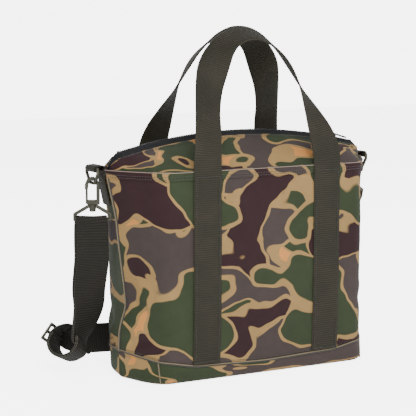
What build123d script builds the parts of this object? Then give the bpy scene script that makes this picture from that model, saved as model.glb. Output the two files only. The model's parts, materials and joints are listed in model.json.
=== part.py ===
from build123d import *
import math
import os

# Insulated cooler bag. Millimetres, +Z up, front towards -Y, origin at the
# bottom centre of the base. One STEP file per piece goes to parts/.

# ---- driving dimensions: the bag body ----
BASE_WIDTH = 290.0        # front bottom corner to corner
BASE_DEPTH = 134.0        # front bottom edge to back bottom edge
BASE_BULGE = 24.0         # how far each end of the base stands past its corners
WAIST_PINCH = 10.0        # how far the side seam is drawn in above the base end
HEM_WIDTH = 368.0         # side seam to side seam at the top hem
HEM_DEPTH = 140.0         # front hem to back hem
HEM_FLAT = 278.0          # width of the flat front at the hem
HEM_HEIGHT = 256.0
END_SEAM = 35.0           # height of the base seam at the side seams
CORNER_SEAM = 28.0        # height of the base seam at the corners
MIDDLE_SEAM = 17.0        # height of the base seam at mid-front
BULGE_TOP = 58.0          # the base end's bulge holds this high
WAIST_HEIGHT = 90.0
FLARE_HEIGHT = 190.0      # above here the side seams flare faster to the hem
FLARE_NARROW = 13.5       # side seam inside its hem place at the flare height
SKIN = 1.2                # outer canvas
FOAM = 8.0                # insulation
LINER = 0.8               # wipe-clean lining
FOAM_SPLIT = BASE_WIDTH / 2 - 15.0  # half width of the front and back foam sheets
FOAM_DROP = 6.0           # how far the foam stops below the hem

# ---- driving dimensions: the domed top closure and its zip ----
DOME_RISE = 41.0          # zip height above the hem at mid-length
ZIP_RADIUS = 700.0        # the zip runs along an arc this large
FLAP_HALF = HEM_FLAT / 2 - 21.0     # half length of the part of the top that opens
ZIP_HALF = HEM_WIDTH / 2 - 19.0     # half length of the chain
CLOSURE_END = HEM_WIDTH / 2 - 3.0   # half length of the whole closure
FLAP_THICK = 2.0
CUT_GAP = 0.6             # gap where a moving piece meets its fixed neighbour
TAPE_WIDTH = 11.0
TAPE_THICK = 0.8
CHAIN_HALF_WIDTH = 2.4
CHAIN_HEIGHT = 2.6
CHAIN_GAP = 0.25          # half the gap between the two rows of teeth
SLIDER_LENGTH = 13.0
SLIDER_WALL = 1.2
SLIDER_CLEAR = 0.35
SLIDER_AT = ZIP_HALF - 27.0         # slider place along X when closed
PULL_LENGTH = 24.0
PULL_WIDTH = 5.0
PULL_THICK = 1.2

# ---- driving dimensions: webbing ----
WEB = 38.0                # handle and shoulder webbing width
WEB_THICK = 2.0
HANDLE_SPACING = 170.0    # centre to centre of a handle's two legs
HANDLE_RISE = 172.0       # top of a handle above the hem
HANDLE_TOP_OFFSET = WEB / 2 + 1  # how far the top of each handle stays from mid-depth
FOLD_GAP = 1.6            # height of the free handle's foot above the hem
FOLD_ROOM = 8.0           # how far the sewn leg stops below the hem, so the handle folds down

# ---- driving dimensions: side tabs and hardware ----
TAB_WIDTH = 25.0
TAB_LENGTH = 45.0
TAB_THICK = 1.8
TAB_OFFSET = 16.0         # tab centre behind the side seam
LOOP_REACH = 0.45 * WEB - 6.1  # loop axis outside the side seam, so that the eye clears the wall
LOOP_RADIUS = 5.0
RING_WIRE = 3.6
RING_INNER = TAB_WIDTH + 2.0
RING_DROP = 21.0
RING_CLEAR = 0.5
HOOK_LENGTH = 33.0
HOOK_WIDTH = 17.0
HOOK_THICK = 5.0
HOOK_WIRE = 3.6
HOOK_CROWN = 4.4          # depth of metal over the hook's opening
HOOK_CLEAR = 0.9          # gap between the hook's crown and the ring it hangs on
GATE_THICK = 2.6
PIN_RADIUS = 0.8
PIN_CLEAR = 0.05
STEM_RADIUS = 2.2
STEM_LENGTH = 7.0
STEM_CLEAR = 0.06
EYE_WIRE = 4.0
EYE_INNER = WEB + 1.0
EYE_DROP = 16.5
EYE_TURN = -28.0          # angle of the hook and eye about the vertical
STRAP_END = 30.0          # length of strap that turns with the eye
STRAP_GAP = 1.4           # gap where the turning strap end meets the hanging strap
RIGHT_LEAN = 15.0         # how far the right hook leans back
CURL_RADIUS = 19.0        # middle of the doubled strap where it curls
CURL_OUT = 13.5           # curl centre outside the side loop
CURL_FLOOR_GAP = 6.2      # room under the curl
STRAP_FLOOR_GAP = 0.4     # room under the strap where it lies on edge
GLIDE_LENGTH = 24.0
GLIDE_THICK = 2.6
GLIDE_WIRE = 4.0

HALF_BASE = BASE_WIDTH / 2
HALF_HEM = HEM_WIDTH / 2
ZIP_CENTRE = HEM_HEIGHT + DOME_RISE - ZIP_RADIUS
LEVELS = (END_SEAM, BULGE_TOP, WAIST_HEIGHT, FLARE_HEIGHT)  # heights where the form changes

os.makedirs("parts", exist_ok=True)
written = {}


def save(name, shape):
    """Write one piece."""
    solids = shape.solids()
    shape = solids[0] if len(solids) == 1 else Compound(children=list(solids))
    shape.label = name
    written[name] = shape
    export_step(shape, f"parts/{name}.step")


# ---------------------------------------------------------------- bag body
def half_sizes(z):
    """Half sizes of the ten-sided section at a height: flat front half
    width, half depth, front shoulder, side seam, back shoulder, flat back
    half width."""
    seam_base = HALF_BASE + BASE_BULGE
    front_half, deep = HALF_BASE - 4, BASE_DEPTH / 2
    flare = HALF_HEM - FLARE_NARROW
    rows = [
        # height, flat front, half depth, front shoulder, side seam, back shoulder, flat back;
        # a shoulder is its X and its share of the half depth
        (0.0, HALF_BASE, deep, (HALF_BASE + 13, 0.657), seam_base, (HALF_BASE + 15, 0.627), HALF_BASE + 3),
        (END_SEAM, front_half, deep + 1.5, (HALF_BASE + 11, 0.584), seam_base, (HALF_BASE + 17, 0.584),
         HALF_BASE + 5),
        (BULGE_TOP, front_half, deep + 2, (HALF_BASE + 10, 0.58), seam_base - 1, (HALF_BASE + 16, 0.58),
         HALF_BASE + 5),
        (WAIST_HEIGHT, front_half, deep + 2.2, (HALF_BASE + 7, 0.549), seam_base - WAIST_PINCH,
         (HALF_BASE + 10, 0.549), HALF_BASE + 5),
        (FLARE_HEIGHT, HEM_FLAT / 2 + 1, HEM_DEPTH / 2 - 0.4, (HALF_HEM - 27, 0.532), flare,
         (flare - 4, 0.489), HALF_BASE + 3),
        (HEM_HEIGHT, HEM_FLAT / 2, HEM_DEPTH / 2, (HALF_HEM - 21, 0.514), HALF_HEM,
         (HALF_HEM - 4, 0.429), HEM_FLAT / 2 + 1),
    ]
    table = [(z0, flat, half, (fx, fs * half), seam, (bx, bs * half), flat_back)
             for z0, flat, half, (fx, fs), seam, (bx, bs), flat_back in rows]
    low, high = table[-2], table[-1]
    for a, b in zip(table, table[1:]):
        if z <= b[0]:
            low, high = a, b
            break
    t = (z - low[0]) / (high[0] - low[0])

    def mix(p, q):
        if isinstance(p, tuple):
            return tuple(mix(a, b) for a, b in zip(p, q))
        return p + (q - p) * t

    return mix(low[1:], high[1:])


def section(z, inset=0.0):
    """The closed section wire at a height, moved inwards by inset."""
    flat, deep, front, seam, back, flat_back = half_sizes(z)
    right = [(flat, -deep), (front[0], -front[1]), (seam, 0.0), (back[0], back[1]), (flat_back, deep)]
    ring = right + [(-x, y) for x, y in reversed(right)]
    moved = []
    n = len(ring)
    for i in range(n):
        before, here, after = ring[i - 1], ring[i], ring[(i + 1) % n]
        lines = []
        for p, q in ((before, here), (here, after)):
            dx, dy = q[0] - p[0], q[1] - p[1]
            size = math.hypot(dx, dy)
            nx, ny = -dy / size, dx / size
            lines.append((nx, ny, nx * p[0] + ny * p[1] + inset))
        (a, b, c), (d, e, f) = lines
        det = a * e - b * d
        moved.append(((c * e - b * f) / det, (a * f - c * d) / det, z))
    return Polyline(*moved, close=True)


def body_block(inset):
    """A solid block of the bag's form, a little taller than the bag."""
    levels = [-6.0, 0.0, *LEVELS, HEM_HEIGHT, HEM_HEIGHT + 8]
    wires = [Wire(section(z, inset).edges()) for z in levels]
    return Solid.make_loft(wires, ruled=True)


def slab(low, high, x0=-400, x1=400, y0=-300, y1=300):
    """A box between two heights."""
    return Box(x1 - x0, y1 - y0, high - low, align=(Align.MIN, Align.MIN, Align.MIN)).moved(
        Location((x0, y0, low))
    )


def below_seam():
    """Everything under the base seam, which rises towards the ends."""
    past = HALF_HEM + 76
    side = [(0, MIDDLE_SEAM), (HALF_BASE - 50, MIDDLE_SEAM + 3), (HALF_BASE - 3, CORNER_SEAM),
            (HALF_BASE + BASE_BULGE, END_SEAM), (past, END_SEAM + 3)]
    outline = [(-x, z) for x, z in reversed(side)] + side[1:]
    outline += [(past, -20), (-past, -20)]
    face = make_face(Plane.XZ * Polyline(*outline, close=True))
    return extrude(face, 300, both=True)


outer = body_block(0.0)
inside_skin = body_block(SKIN)
inside_foam = body_block(SKIN + FOAM)
inside_liner = body_block(SKIN + FOAM + LINER)
base_zone = below_seam()
FOAM_FLOOR = SKIN + FOAM
FOAM_TOP = HEM_HEIGHT - FOAM_DROP

skin = (outer & slab(0, HEM_HEIGHT)) - (inside_skin & slab(SKIN, HEM_HEIGHT + 9))
save("base_panel", skin & base_zone)
upper_skin = skin - base_zone
save("front_panel", upper_skin & slab(0, HEM_HEIGHT, y1=0))
save("back_panel", upper_skin & slab(0, HEM_HEIGHT, y0=0))

foam_wall = (inside_skin & slab(FOAM_FLOOR, FOAM_TOP)) - inside_foam
save("foam_base", inside_skin & slab(SKIN, FOAM_FLOOR))
save("foam_front", foam_wall & slab(0, 400, x0=-FOAM_SPLIT, x1=FOAM_SPLIT, y1=0))
save("foam_back", foam_wall & slab(0, 400, x0=-FOAM_SPLIT, x1=FOAM_SPLIT, y0=0))
save("foam_side_left", foam_wall & slab(0, 400, x1=-FOAM_SPLIT))
save("foam_side_right", foam_wall & slab(0, 400, x0=FOAM_SPLIT))
lining_room = inside_liner & slab(FOAM_FLOOR + LINER, FOAM_TOP + 9)
save("liner", (inside_foam & slab(FOAM_FLOOR, FOAM_TOP)) - lining_room)


# ------------------------------------------------------- domed top closure
def zip_height(x, radius=ZIP_RADIUS):
    """Height of the zip arc, or of an arc about the same centre."""
    return ZIP_CENTRE + math.sqrt(radius * radius - x * x)


TAPE_TILT = math.radians(31)
tape_in = (-CHAIN_GAP - CHAIN_HALF_WIDTH, -0.2)
tape_out = (tape_in[0] - TAPE_WIDTH * math.cos(TAPE_TILT), tape_in[1] - TAPE_WIDTH * math.sin(TAPE_TILT))


def arc_piece(profile, start, end, side):
    """A profile, given as (y, height above the zip arc), carried along the
    zip arc from one X to another. side is -1 for the front row."""
    points = [(0, -side * y, ZIP_CENTRE + ZIP_RADIUS + h) for y, h in profile]
    face = make_face(Polyline(*points, close=True))
    a0 = math.degrees(math.asin(start / ZIP_RADIUS))
    a1 = math.degrees(math.asin(end / ZIP_RADIUS))
    axis = Axis((0, 0, ZIP_CENTRE), (0, 1, 0))
    return revolve(face.rotate(axis, a0), axis, a1 - a0)


tape_profile = [tape_in, (tape_in[0], tape_in[1] - TAPE_THICK),
                (tape_out[0], tape_out[1] - TAPE_THICK), tape_out]
chain_profile = [(-CHAIN_GAP, CHAIN_HEIGHT / 2 - 0.6), (-CHAIN_GAP, -CHAIN_HEIGHT / 2 - 0.6),
                 (tape_in[0], -CHAIN_HEIGHT / 2 - 0.6), (tape_in[0], CHAIN_HEIGHT / 2 - 0.6)]


def flap(side):
    """One half of the opening part of the top: it rises from the hem to the
    zip tape."""
    wires = []
    hem = HEM_DEPTH / 2 - SKIN - 0.4
    reach = hem + tape_out[0] - 0.5
    steps = 8
    for i in range(steps + 1):
        x = -FLAP_HALF + CUT_GAP / 2 + (2 * FLAP_HALF - CUT_GAP) * i / steps
        top = zip_height(x) + tape_out[1] - 0.1
        foot = HEM_HEIGHT + 0.6
        y_top, y_foot = tape_out[0] - 0.5, -hem
        slope = math.hypot(reach, top - foot)
        drop = FLAP_THICK * slope / reach
        y_inner = y_foot + drop * reach / slope * 1.2
        ring = [(y_foot, foot), (y_top, top), (y_top, top - drop), (y_inner, foot)]
        wires.append(Wire(Polyline(*[(x, -side * y, z) for y, z in ring], close=True).edges()))
    return Solid.make_loft(wires, ruled=True)


flap_end = FLAP_HALF - CUT_GAP / 2
for side, name in ((-1, "front"), (1, "back")):
    save(f"collar_{name}", flap(side))
    save(f"zip_tape_{name}", arc_piece(tape_profile, -flap_end, flap_end, side))
    save(f"zip_chain_{name}", arc_piece(chain_profile, -flap_end, flap_end, side))


def closure_end(sign):
    """The fixed end of the top: a small roof from the hem to the zip."""
    wires = []
    first = FLAP_HALF + CUT_GAP / 2
    for x in (first, HEM_FLAT / 2, (HEM_FLAT / 2 + ZIP_HALF) / 2, ZIP_HALF, CLOSURE_END):
        z = HEM_HEIGHT + 0.1
        front, back = half_depth_at(x)
        tip = HEM_HEIGHT + 7 if x > ZIP_HALF else zip_height(x) - CHAIN_HEIGHT - 1.2
        lift = FLAP_THICK * 1.3
        under = FLAP_THICK * 2.2 if x <= ZIP_HALF else 3.0
        ring = [(-front, z), (0, tip), (back, z), (back - under, z), (0, tip - lift), (-front + under, z)]
        wires.append(Wire(Polyline(*[(sign * x, y, h) for y, h in ring], close=True).edges()))
    return Solid.make_loft(wires, ruled=True)


def half_depth_at(x):
    """Depth of the hem section in front of and behind the side seam line at
    a place along X, just inside the skin."""
    flat, deep, front, seam, back, flat_back = half_sizes(HEM_HEIGHT)
    clear = SKIN + 0.5

    def along(points):
        for (x0, y0), (x1, y1) in zip(points, points[1:]):
            if x0 <= x <= x1:
                return y0 + (y1 - y0) * (x - x0) / (x1 - x0)
        return points[-1][1] + 4.0

    ahead = along([(0, deep), (flat, deep), (front[0], front[1]), (seam, 0)])
    behind = along([(0, deep), (flat_back, deep), (back[0], back[1]), (seam, 0)])
    return max(ahead - clear * 1.6, 4.0), max(behind - clear * 1.6, 4.0)


for sign, name in ((-1, "left"), (1, "right")):
    save(f"collar_end_{name}", closure_end(sign))
    x0, x1 = sorted((sign * (FLAP_HALF + CUT_GAP / 2), sign * ZIP_HALF))
    chain = arc_piece(chain_profile, x0, x1, -1) + arc_piece(chain_profile, x0, x1, 1)
    save(f"zip_chain_end_{name}", chain)
    stop = Box(3.0, 2 * CHAIN_HALF_WIDTH + 2.4, CHAIN_HEIGHT + 0.8)
    tilt = math.degrees(math.asin(sign * ZIP_HALF / ZIP_RADIUS))
    stop_x = ZIP_HALF + 2.0
    place = Location((sign * stop_x, 0, zip_height(stop_x) - 0.6)) * Location((0, 0, 0), (0, tilt, 0))
    save(f"zip_stop_{name}", stop.moved(place))


def slider_place(x):
    """Location on the zip arc with local Z outwards."""
    tilt = math.degrees(math.asin(x / ZIP_RADIUS))
    return Location((x, 0, zip_height(x))) * Location((0, 0, 0), (0, tilt, 0))


half_w = CHAIN_GAP + CHAIN_HALF_WIDTH + SLIDER_CLEAR
top_in = CHAIN_HEIGHT / 2 - 0.6 + SLIDER_CLEAR
slider_half = SLIDER_LENGTH / 2
slider_top = slab(top_in, top_in + SLIDER_WALL, -slider_half, slider_half, -half_w - 1.3, half_w + 1.3)
slider_top = fillet(slider_top.edges().filter_by(Axis.Z), 2.0)
rail = slab(-0.1, top_in + 0.01, -SLIDER_LENGTH / 2 + 2, SLIDER_LENGTH / 2 - 2, half_w, half_w + 1.3)
slider = slider_top + rail + rail.mirror(Plane.XZ)
BAIL_HEIGHT = 4.2
bail_base = top_in + SLIDER_WALL
bail = Plane.XZ * (Rectangle(6.4, BAIL_HEIGHT, align=(Align.CENTER, Align.MIN)))
bail = extrude(bail, 1.1, both=True).moved(Location((0, 0, bail_base - 0.01)))
bail_hole = Cylinder(0.92, 4.0).rotate(Axis.X, 90).moved(Location((0, 0, bail_base + 2.4)))
slider = slider + (bail - bail_hole)
save("zip_slider", slider.moved(slider_place(SLIDER_AT)))

pull = slab(-PULL_THICK / 2, PULL_THICK / 2, 4.2, PULL_LENGTH, -PULL_WIDTH / 2, PULL_WIDTH / 2)
arms = slab(-PULL_THICK / 2, PULL_THICK / 2, -1.2, 4.4, -PULL_WIDTH / 2, PULL_WIDTH / 2)
arms -= slab(-3, 3, -4, 4.2, -1.5, 1.5)
pull_pin = Cylinder(0.85, PULL_WIDTH - 0.4).rotate(Axis.X, 90)
pull = fillet((pull + arms).edges().filter_by(Axis.Z).sort_by(Axis.X)[-2:], 2.0) + pull_pin
PULL_REST = 6.0
pull_place = slider_place(SLIDER_AT) * Location((0, 0, bail_base + 2.4))
pull_place = pull_place * Location((0, 0, 0), (0, PULL_REST, 0))
save("zip_pull", pull.moved(pull_place))


# ------------------------------------------------------------------ webbing
def ribbon(stations, width, thick):
    """A flat strip through stations, each a point and a width direction."""
    wires = []
    n = len(stations)
    for i, (point, across) in enumerate(stations):
        here = Vector(*point)
        back = Vector(*stations[max(i - 1, 0)][0])
        ahead = Vector(*stations[min(i + 1, n - 1)][0])
        along = (ahead - back).normalized()
        wide = Vector(*across)
        wide = (wide - along * wide.dot(along)).normalized()
        up = along.cross(wide)
        corners = [here + wide * (a * width / 2) + up * (b * thick / 2)
                   for a, b in ((-1, -1), (1, -1), (1, 1), (-1, 1))]
        wires.append(Wire(Polyline(*corners, close=True).edges()))
    return Solid.make_loft(wires, ruled=True)


def front_y(z):
    """Y of the flat front face at a height."""
    return -half_sizes(z)[1]


def sewn_leg(x):
    """A handle leg sewn flat to the front from the base seam to the hem."""
    low, high = MIDDLE_SEAM + 4.5, HEM_HEIGHT - FOLD_ROOM
    wires = []
    for z in (low, *LEVELS, high):
        y = front_y(z)
        x0, x1 = x - WEB / 2, x + WEB / 2
        ring = [(x0, y), (x1, y), (x1, y - WEB_THICK), (x0, y - WEB_THICK)]
        wires.append(Wire(Polyline(*[(a, b, z) for a, b in ring], close=True).edges()))
    return Solid.make_loft(wires, ruled=True)


def handle():
    """The free loop of the front handle: it leans in over the top, and its
    webbing turns on edge over the hand grip."""
    half = HANDLE_SPACING / 2
    foot = front_y(HEM_HEIGHT) - WEB_THICK / 2
    top = -HANDLE_TOP_OFFSET
    rise = HANDLE_RISE
    path = [
        # X, Y, height above the hem, turn of the webbing out of flat
        (-half, foot, FOLD_GAP, 0), (-half, foot, rise * 0.07, 0), (-half + 1, foot + 0.5, rise * 0.15, 0),
        (-half + 5, foot + 7, rise * 0.30, 2), (-half + 11, foot + 19, rise * 0.46, 6),
        (-half + 21, foot + 33, rise * 0.62, 22),
        (-half + 33, top - 9, rise * 0.76, 50), (-half + 46, top - 4, rise * 0.88, 78),
        (-half + 63, top, rise * 0.96, 90), (0, top, rise, 90), (half - 63, top, rise * 0.965, 90),
        (half - 44, top - 4, rise * 0.87, 90), (half - 31, top - 13, rise * 0.74, 84),
        (half - 21, foot + 28, rise * 0.58, 70), (half - 13, foot + 17, rise * 0.42, 46),
        (half - 6, foot + 7, rise * 0.26, 20), (half - 2, foot + 1, rise * 0.14, 4),
        (half, foot, rise * 0.06, 0), (half, foot, FOLD_GAP, 0),
    ]
    stations = []
    n = len(path)
    for i, (x, y, z, turn) in enumerate(path):
        a, b = path[max(i - 1, 0)], path[min(i + 1, n - 1)]
        along = Vector(b[0] - a[0], b[1] - a[1], b[2] - a[2]).normalized()
        edge = Vector(0, math.cos(math.radians(25)), math.sin(math.radians(25)))
        edge = (edge - along * edge.dot(along)).normalized()
        flat = edge.cross(along)
        t = math.radians(turn)
        across = flat * math.cos(t) - edge * math.sin(t)
        stations.append(((x, y, HEM_HEIGHT + z), tuple(across)))
    return ribbon(stations, WEB, WEB_THICK)


front_handle = handle()
for name, turned in (("front", 0), ("back", 180)):
    for x, side in ((-HANDLE_SPACING / 2, "left"), (HANDLE_SPACING / 2, "right")):
        leg = sewn_leg(-x if turned else x)
        save(f"handle_leg_{name}_{side}", leg.rotate(Axis.Z, turned))
    save(f"handle_{name}", front_handle.rotate(Axis.Z, turned))


# ------------------------------------------------- side tabs and hardware
def side_x(z, y):
    """X of the back half of the right side face at a height and depth."""
    flat, deep, front, seam, back, flat_back = half_sizes(z)
    return seam + (back[0] - seam) * y / back[1]


LOOP_HEIGHT = HEM_HEIGHT + 1.0
LOOP_X = HALF_HEM + LOOP_REACH


def tab():
    """The right side tab: sewn flat below the hem, folded into a loop above
    it."""
    y0, y1 = TAB_OFFSET - TAB_WIDTH / 2, TAB_OFFSET + TAB_WIDTH / 2
    wires = []
    for z in (HEM_HEIGHT - TAB_LENGTH, HEM_HEIGHT - 1):
        a, b = side_x(z, y0) + 0.15, side_x(z, y1) + 0.15
        ring = [(a, y0), (b, y1), (b + TAB_THICK, y1), (a + TAB_THICK, y0)]
        wires.append(Wire(Polyline(*[(p, q, z) for p, q in ring], close=True).edges()))
    plate = Solid.make_loft(wires, ruled=True)
    bridge_start = side_x(HEM_HEIGHT, y0) + 0.5
    bridge_end = LOOP_X - LOOP_RADIUS + 1.2
    profile = Polyline((bridge_start, HEM_HEIGHT - 6), (bridge_end, LOOP_HEIGHT - 3),
                       (bridge_end, LOOP_HEIGHT + 2), (bridge_start, HEM_HEIGHT - 1), close=True)
    bridge = extrude(make_face(Plane.XZ * profile), -TAB_WIDTH).moved(Location((0, y0, 0)))
    loop_at = Location((LOOP_X, TAB_OFFSET, LOOP_HEIGHT))
    barrel = Cylinder(LOOP_RADIUS, TAB_WIDTH).rotate(Axis.X, 90)
    bore = Cylinder(RING_WIRE / 2 + RING_CLEAR + 0.6, TAB_WIDTH + 4).rotate(Axis.X, 90)
    return (plate + bridge + barrel.moved(loop_at)) - bore.moved(loop_at)


def flat_ring(outer_points, outer_radius, wire, thick):
    """A closed flat ring of wire, from its outline in the XZ plane."""
    wire_path = Polyline(*outer_points, close=True)
    face = make_face(Plane.XZ * wire_path)
    face = fillet(face.vertices(), outer_radius)
    hole = offset(face, -wire)
    ring = extrude(face, thick / 2, both=True) - extrude(hole, thick, both=True)
    return fillet(ring.edges().filter_by(lambda e: abs(abs(e.center().Y) - thick / 2) < 1e-4), wire * 0.34)


def d_ring():
    """The ring in its own XZ plane, its straight bar on the X axis."""
    w, r = RING_INNER / 2 + RING_WIRE, RING_WIRE / 2
    points = [(-w, r), (w, r), (w, -6.0), (w * 0.45, -RING_DROP + r), (-w * 0.45, -RING_DROP + r), (-w, -6.0)]
    return flat_ring(points, 3.0, RING_WIRE, RING_WIRE)


def hook_pieces():
    """Hook body, gate and pivot pin in the XZ plane. The stem's axis is Z,
    and the hook's crown is centred above it. Z = 0 is the base's underside."""
    h, w = HOOK_LENGTH, HOOK_WIDTH / 2
    crown = make_face(Plane.XZ * Polyline(
        (-w + 2, 0), (w, 0), (w, h - 9), (w - 2.5, h - 3), (w - 7, h), (-w + 7, h), (-w + 2.0, h - 3),
        (-w - 0.5, h - 9), (-w - 0.5, h - 14.5), (-w + 3.0, h - 14.5), (-w + 3.4, h - 10),
        (-w + 4.4, h - HOOK_CROWN), (w - 4.6, h - HOOK_CROWN), (w - HOOK_WIRE, h - 10), (w - HOOK_WIRE, 5.0),
        (-w + 2, 5.0), close=True))
    crown = fillet(crown.vertices(), 0.8)
    body = extrude(crown, HOOK_THICK / 2, both=True)
    pivot = (-w + 4.0, 0, 2.6)
    slot = slab(-0.2, 6, -w - 1, -w + 6.4, -GATE_THICK / 2 - 0.2, GATE_THICK / 2 + 0.2)
    body -= slot
    hole = Cylinder(PIN_RADIUS, HOOK_THICK + 2).rotate(Axis.X, 90).moved(Location(pivot))
    body -= hole
    stem = Cylinder(STEM_RADIUS, STEM_LENGTH, align=(Align.CENTER, Align.CENTER, Align.MAX))
    head = Cylinder(STEM_RADIUS + 1.4, 2.0, align=(Align.CENTER, Align.CENTER, Align.MAX))
    body = body + stem.moved(Location((0, 0, 0.5))) + head.moved(Location((0, 0, 0.5 - STEM_LENGTH)))
    gate_top = h - 15.0
    gate = slab(2.6, gate_top, -w + 0.2, -w + 3.0, -GATE_THICK / 2, GATE_THICK / 2)
    gate += slab(0.6, 4.8, -w + 0.2, -w + 5.8, -GATE_THICK / 2, GATE_THICK / 2)
    gate -= Cylinder(PIN_RADIUS + PIN_CLEAR, HOOK_THICK + 2).rotate(Axis.X, 90).moved(Location(pivot))
    pin = Cylinder(PIN_RADIUS, HOOK_THICK).rotate(Axis.X, 90).moved(Location(pivot))
    return body, gate, pin


def swivel_eye():
    """The eye below the hook: a boss on the stem and a wide flat frame. Z = 0
    is the hook base's underside."""
    w = EYE_INNER / 2 + EYE_WIRE
    top = -0.4
    shoulder = -EYE_DROP + 5.5
    points = [(-5.5, top), (5.5, top), (w, shoulder), (w, -EYE_DROP - EYE_WIRE), (-w, -EYE_DROP - EYE_WIRE),
              (-w, shoulder)]
    frame = flat_ring(points, 1.6, EYE_WIRE, EYE_WIRE)
    boss_low = 0.5 - STEM_LENGTH + 0.3
    boss = Cylinder(STEM_RADIUS + 1.9, top - boss_low, align=(Align.CENTER, Align.CENTER, Align.MAX))
    bore = Cylinder(STEM_RADIUS + STEM_CLEAR, 14, align=(Align.CENTER, Align.CENTER, Align.MAX))
    return (frame + boss.moved(Location((0, 0, top)))) - bore.moved(Location((0, 0, 2)))


def strap_end():
    """The strap's fold round the eye's bar and the doubled webbing below."""
    bar_z = -EYE_DROP - EYE_WIRE / 2
    fold = Cylinder(EYE_WIRE / 2 + 2.6, WEB).rotate(Axis.Y, 90).moved(Location((0, 0, bar_z)))
    tail = slab(bar_z - STRAP_END, bar_z, -WEB / 2, WEB / 2, -WEB_THICK, WEB_THICK)
    bore = Cylinder(EYE_WIRE / 2 + 0.5, WEB + 4).rotate(Axis.Y, 90).moved(Location((0, 0, bar_z)))
    return (fold + tail) - bore


RING_BOTTOM = LOOP_HEIGHT - RING_DROP + 1.5 * RING_WIRE  # upper face of the ring's lower wire
HOOK_BASE = RING_BOTTOM + HOOK_CLEAR + HOOK_CROWN - HOOK_LENGTH


def hook_place(sign):
    """Place of a hook, as on the right side before any mirroring."""
    lean = RIGHT_LEAN if sign > 0 else 0.0
    swing = Location((LOOP_X, TAB_OFFSET, RING_BOTTOM)) * Location((0, 0, 0), (lean, 0, 0))
    return swing * Location((0, 0, HOOK_BASE - RING_BOTTOM)) * Location((0, 0, 0), (0, 0, 180 - EYE_TURN))


def side_pieces(sign, name):
    """Write the tab, ring, hook and strap end of one side."""
    at_ring = Location((LOOP_X, TAB_OFFSET, LOOP_HEIGHT)) * Location((0, 0, 0), (0, 0, 90))
    body, gate, pin = hook_pieces()
    pieces = {"tab": tab(), "d_ring": d_ring().moved(at_ring)}
    for key, shape in (("hook_body", body), ("hook_gate", gate), ("gate_pin", pin),
                       ("swivel_eye", swivel_eye()), ("strap_end", strap_end())):
        pieces[key] = shape.moved(hook_place(sign))
    for key, shape in pieces.items():
        save(f"{key}_{name}", shape.mirror(Plane.YZ) if sign < 0 else shape)


def strap_start(sign):
    """Where the strap below a hook begins: place, width direction and
    downward direction."""
    place = hook_place(sign)
    low = (place * Location((0, 0, -EYE_DROP - EYE_WIRE / 2 - STRAP_END))).position
    across = (place * Location((1, 0, 0))).position - place.position
    down = place.position - (place * Location((0, 0, 1))).position
    if sign < 0:
        low, across, down = (Vector(-v.X, v.Y, v.Z) for v in (low, across, down))
    return low + down * STRAP_GAP, across, down


for sign, name in ((1, "right"), (-1, "left")):
    side_pieces(sign, name)


# --------------------------------------------------------- shoulder strap
curl_axis = Vector(0.65, 0.61, -0.45).normalized()
curl_side = Vector(0.87, -0.49, 0.0)
curl_side = (curl_side - curl_axis * curl_side.dot(curl_axis)).normalized()
curl_up = curl_side.cross(curl_axis).normalized()
if curl_up.Z < 0:
    curl_up = curl_up * -1
curl_height = (CURL_RADIUS + WEB_THICK) * curl_up.Z + WEB / 2 * abs(curl_axis.Z) + CURL_FLOOR_GAP
curl_centre = Vector(-LOOP_X - CURL_OUT, BASE_DEPTH / 2 - 3.5, curl_height)


def on_curl(angle, radius=CURL_RADIUS):
    """A point on the curl; 0 is its side towards the bag, 90 its top."""
    a = math.radians(angle)
    return curl_centre + curl_side * (radius * math.cos(a)) + curl_up * (radius * math.sin(a))


left_top, left_across, left_down = strap_start(-1)
right_top, right_across, right_down = strap_start(1)
left_across = left_across if left_across.dot(curl_axis) > 0 else left_across * -1
curl_y = curl_centre.Y
drop = [
    (left_top, left_across), (left_top + left_down * 20, left_across),
    (Vector(-LOOP_X + 0.5, 27, left_top.Z * 0.67), left_across),
    (Vector(-LOOP_X + 3.0, 36, left_top.Z * 0.5), left_across * 0.6 + curl_axis * 0.4),
    (on_curl(20), curl_axis), (on_curl(-5), curl_axis),
]
save("strap_drop_left", ribbon(drop, WEB, 2 * WEB_THICK))
curl_points = [(on_curl(a), curl_axis) for a in (-8, -30, -55, -80, -105, -130, -155, -180, -205, -225)]
save("strap_curl", ribbon(curl_points, WEB, 2 * WEB_THICK))

on_edge = Vector(0, 0, -1)
lying = WEB / 2 + STRAP_FLOOR_GAP
behind_bag = BASE_DEPTH / 2
behind = [
    (on_curl(-228), curl_axis), (on_curl(-250), curl_axis),
    (Vector(-LOOP_X + 5, curl_y + 20.5, lying + 26.6), curl_axis * 0.6 + on_edge * 0.5),
    (Vector(-LOOP_X + 30, behind_bag + 31, lying + 18.6), on_edge + curl_axis * 0.2),
    (Vector(-LOOP_X * 0.69, behind_bag + 45, lying + 10.6), on_edge),
    (Vector(-LOOP_X * 0.51, behind_bag + 59, lying + 3.6), on_edge),
    (Vector(-LOOP_X * 0.31, behind_bag + 71, lying), on_edge),
    (Vector(-LOOP_X * 0.08, behind_bag + 77, lying), on_edge),
    (Vector(LOOP_X * 0.15, behind_bag + 76, lying), on_edge),
    (Vector(LOOP_X * 0.37, behind_bag + 68, lying + 0.2), on_edge),
    (Vector(LOOP_X * 0.55, behind_bag + 55, lying + 2.6), on_edge),
    (Vector(LOOP_X * 0.71, behind_bag + 40, lying + 9.6), on_edge + right_across * 0.2),
    (Vector(LOOP_X - 35, behind_bag + 26, lying + 24.6), on_edge * 0.8 + right_across * 0.5),
    (Vector(LOOP_X - 20, behind_bag + 13, right_top.Z * 0.397), on_edge * 0.4 + right_across),
    (Vector(LOOP_X - 11, behind_bag - 1, right_top.Z * 0.572), right_across),
    (right_top + right_down * 24, right_across), (right_top, right_across),
]
save("strap_behind", ribbon(behind, WEB, WEB_THICK))

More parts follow.
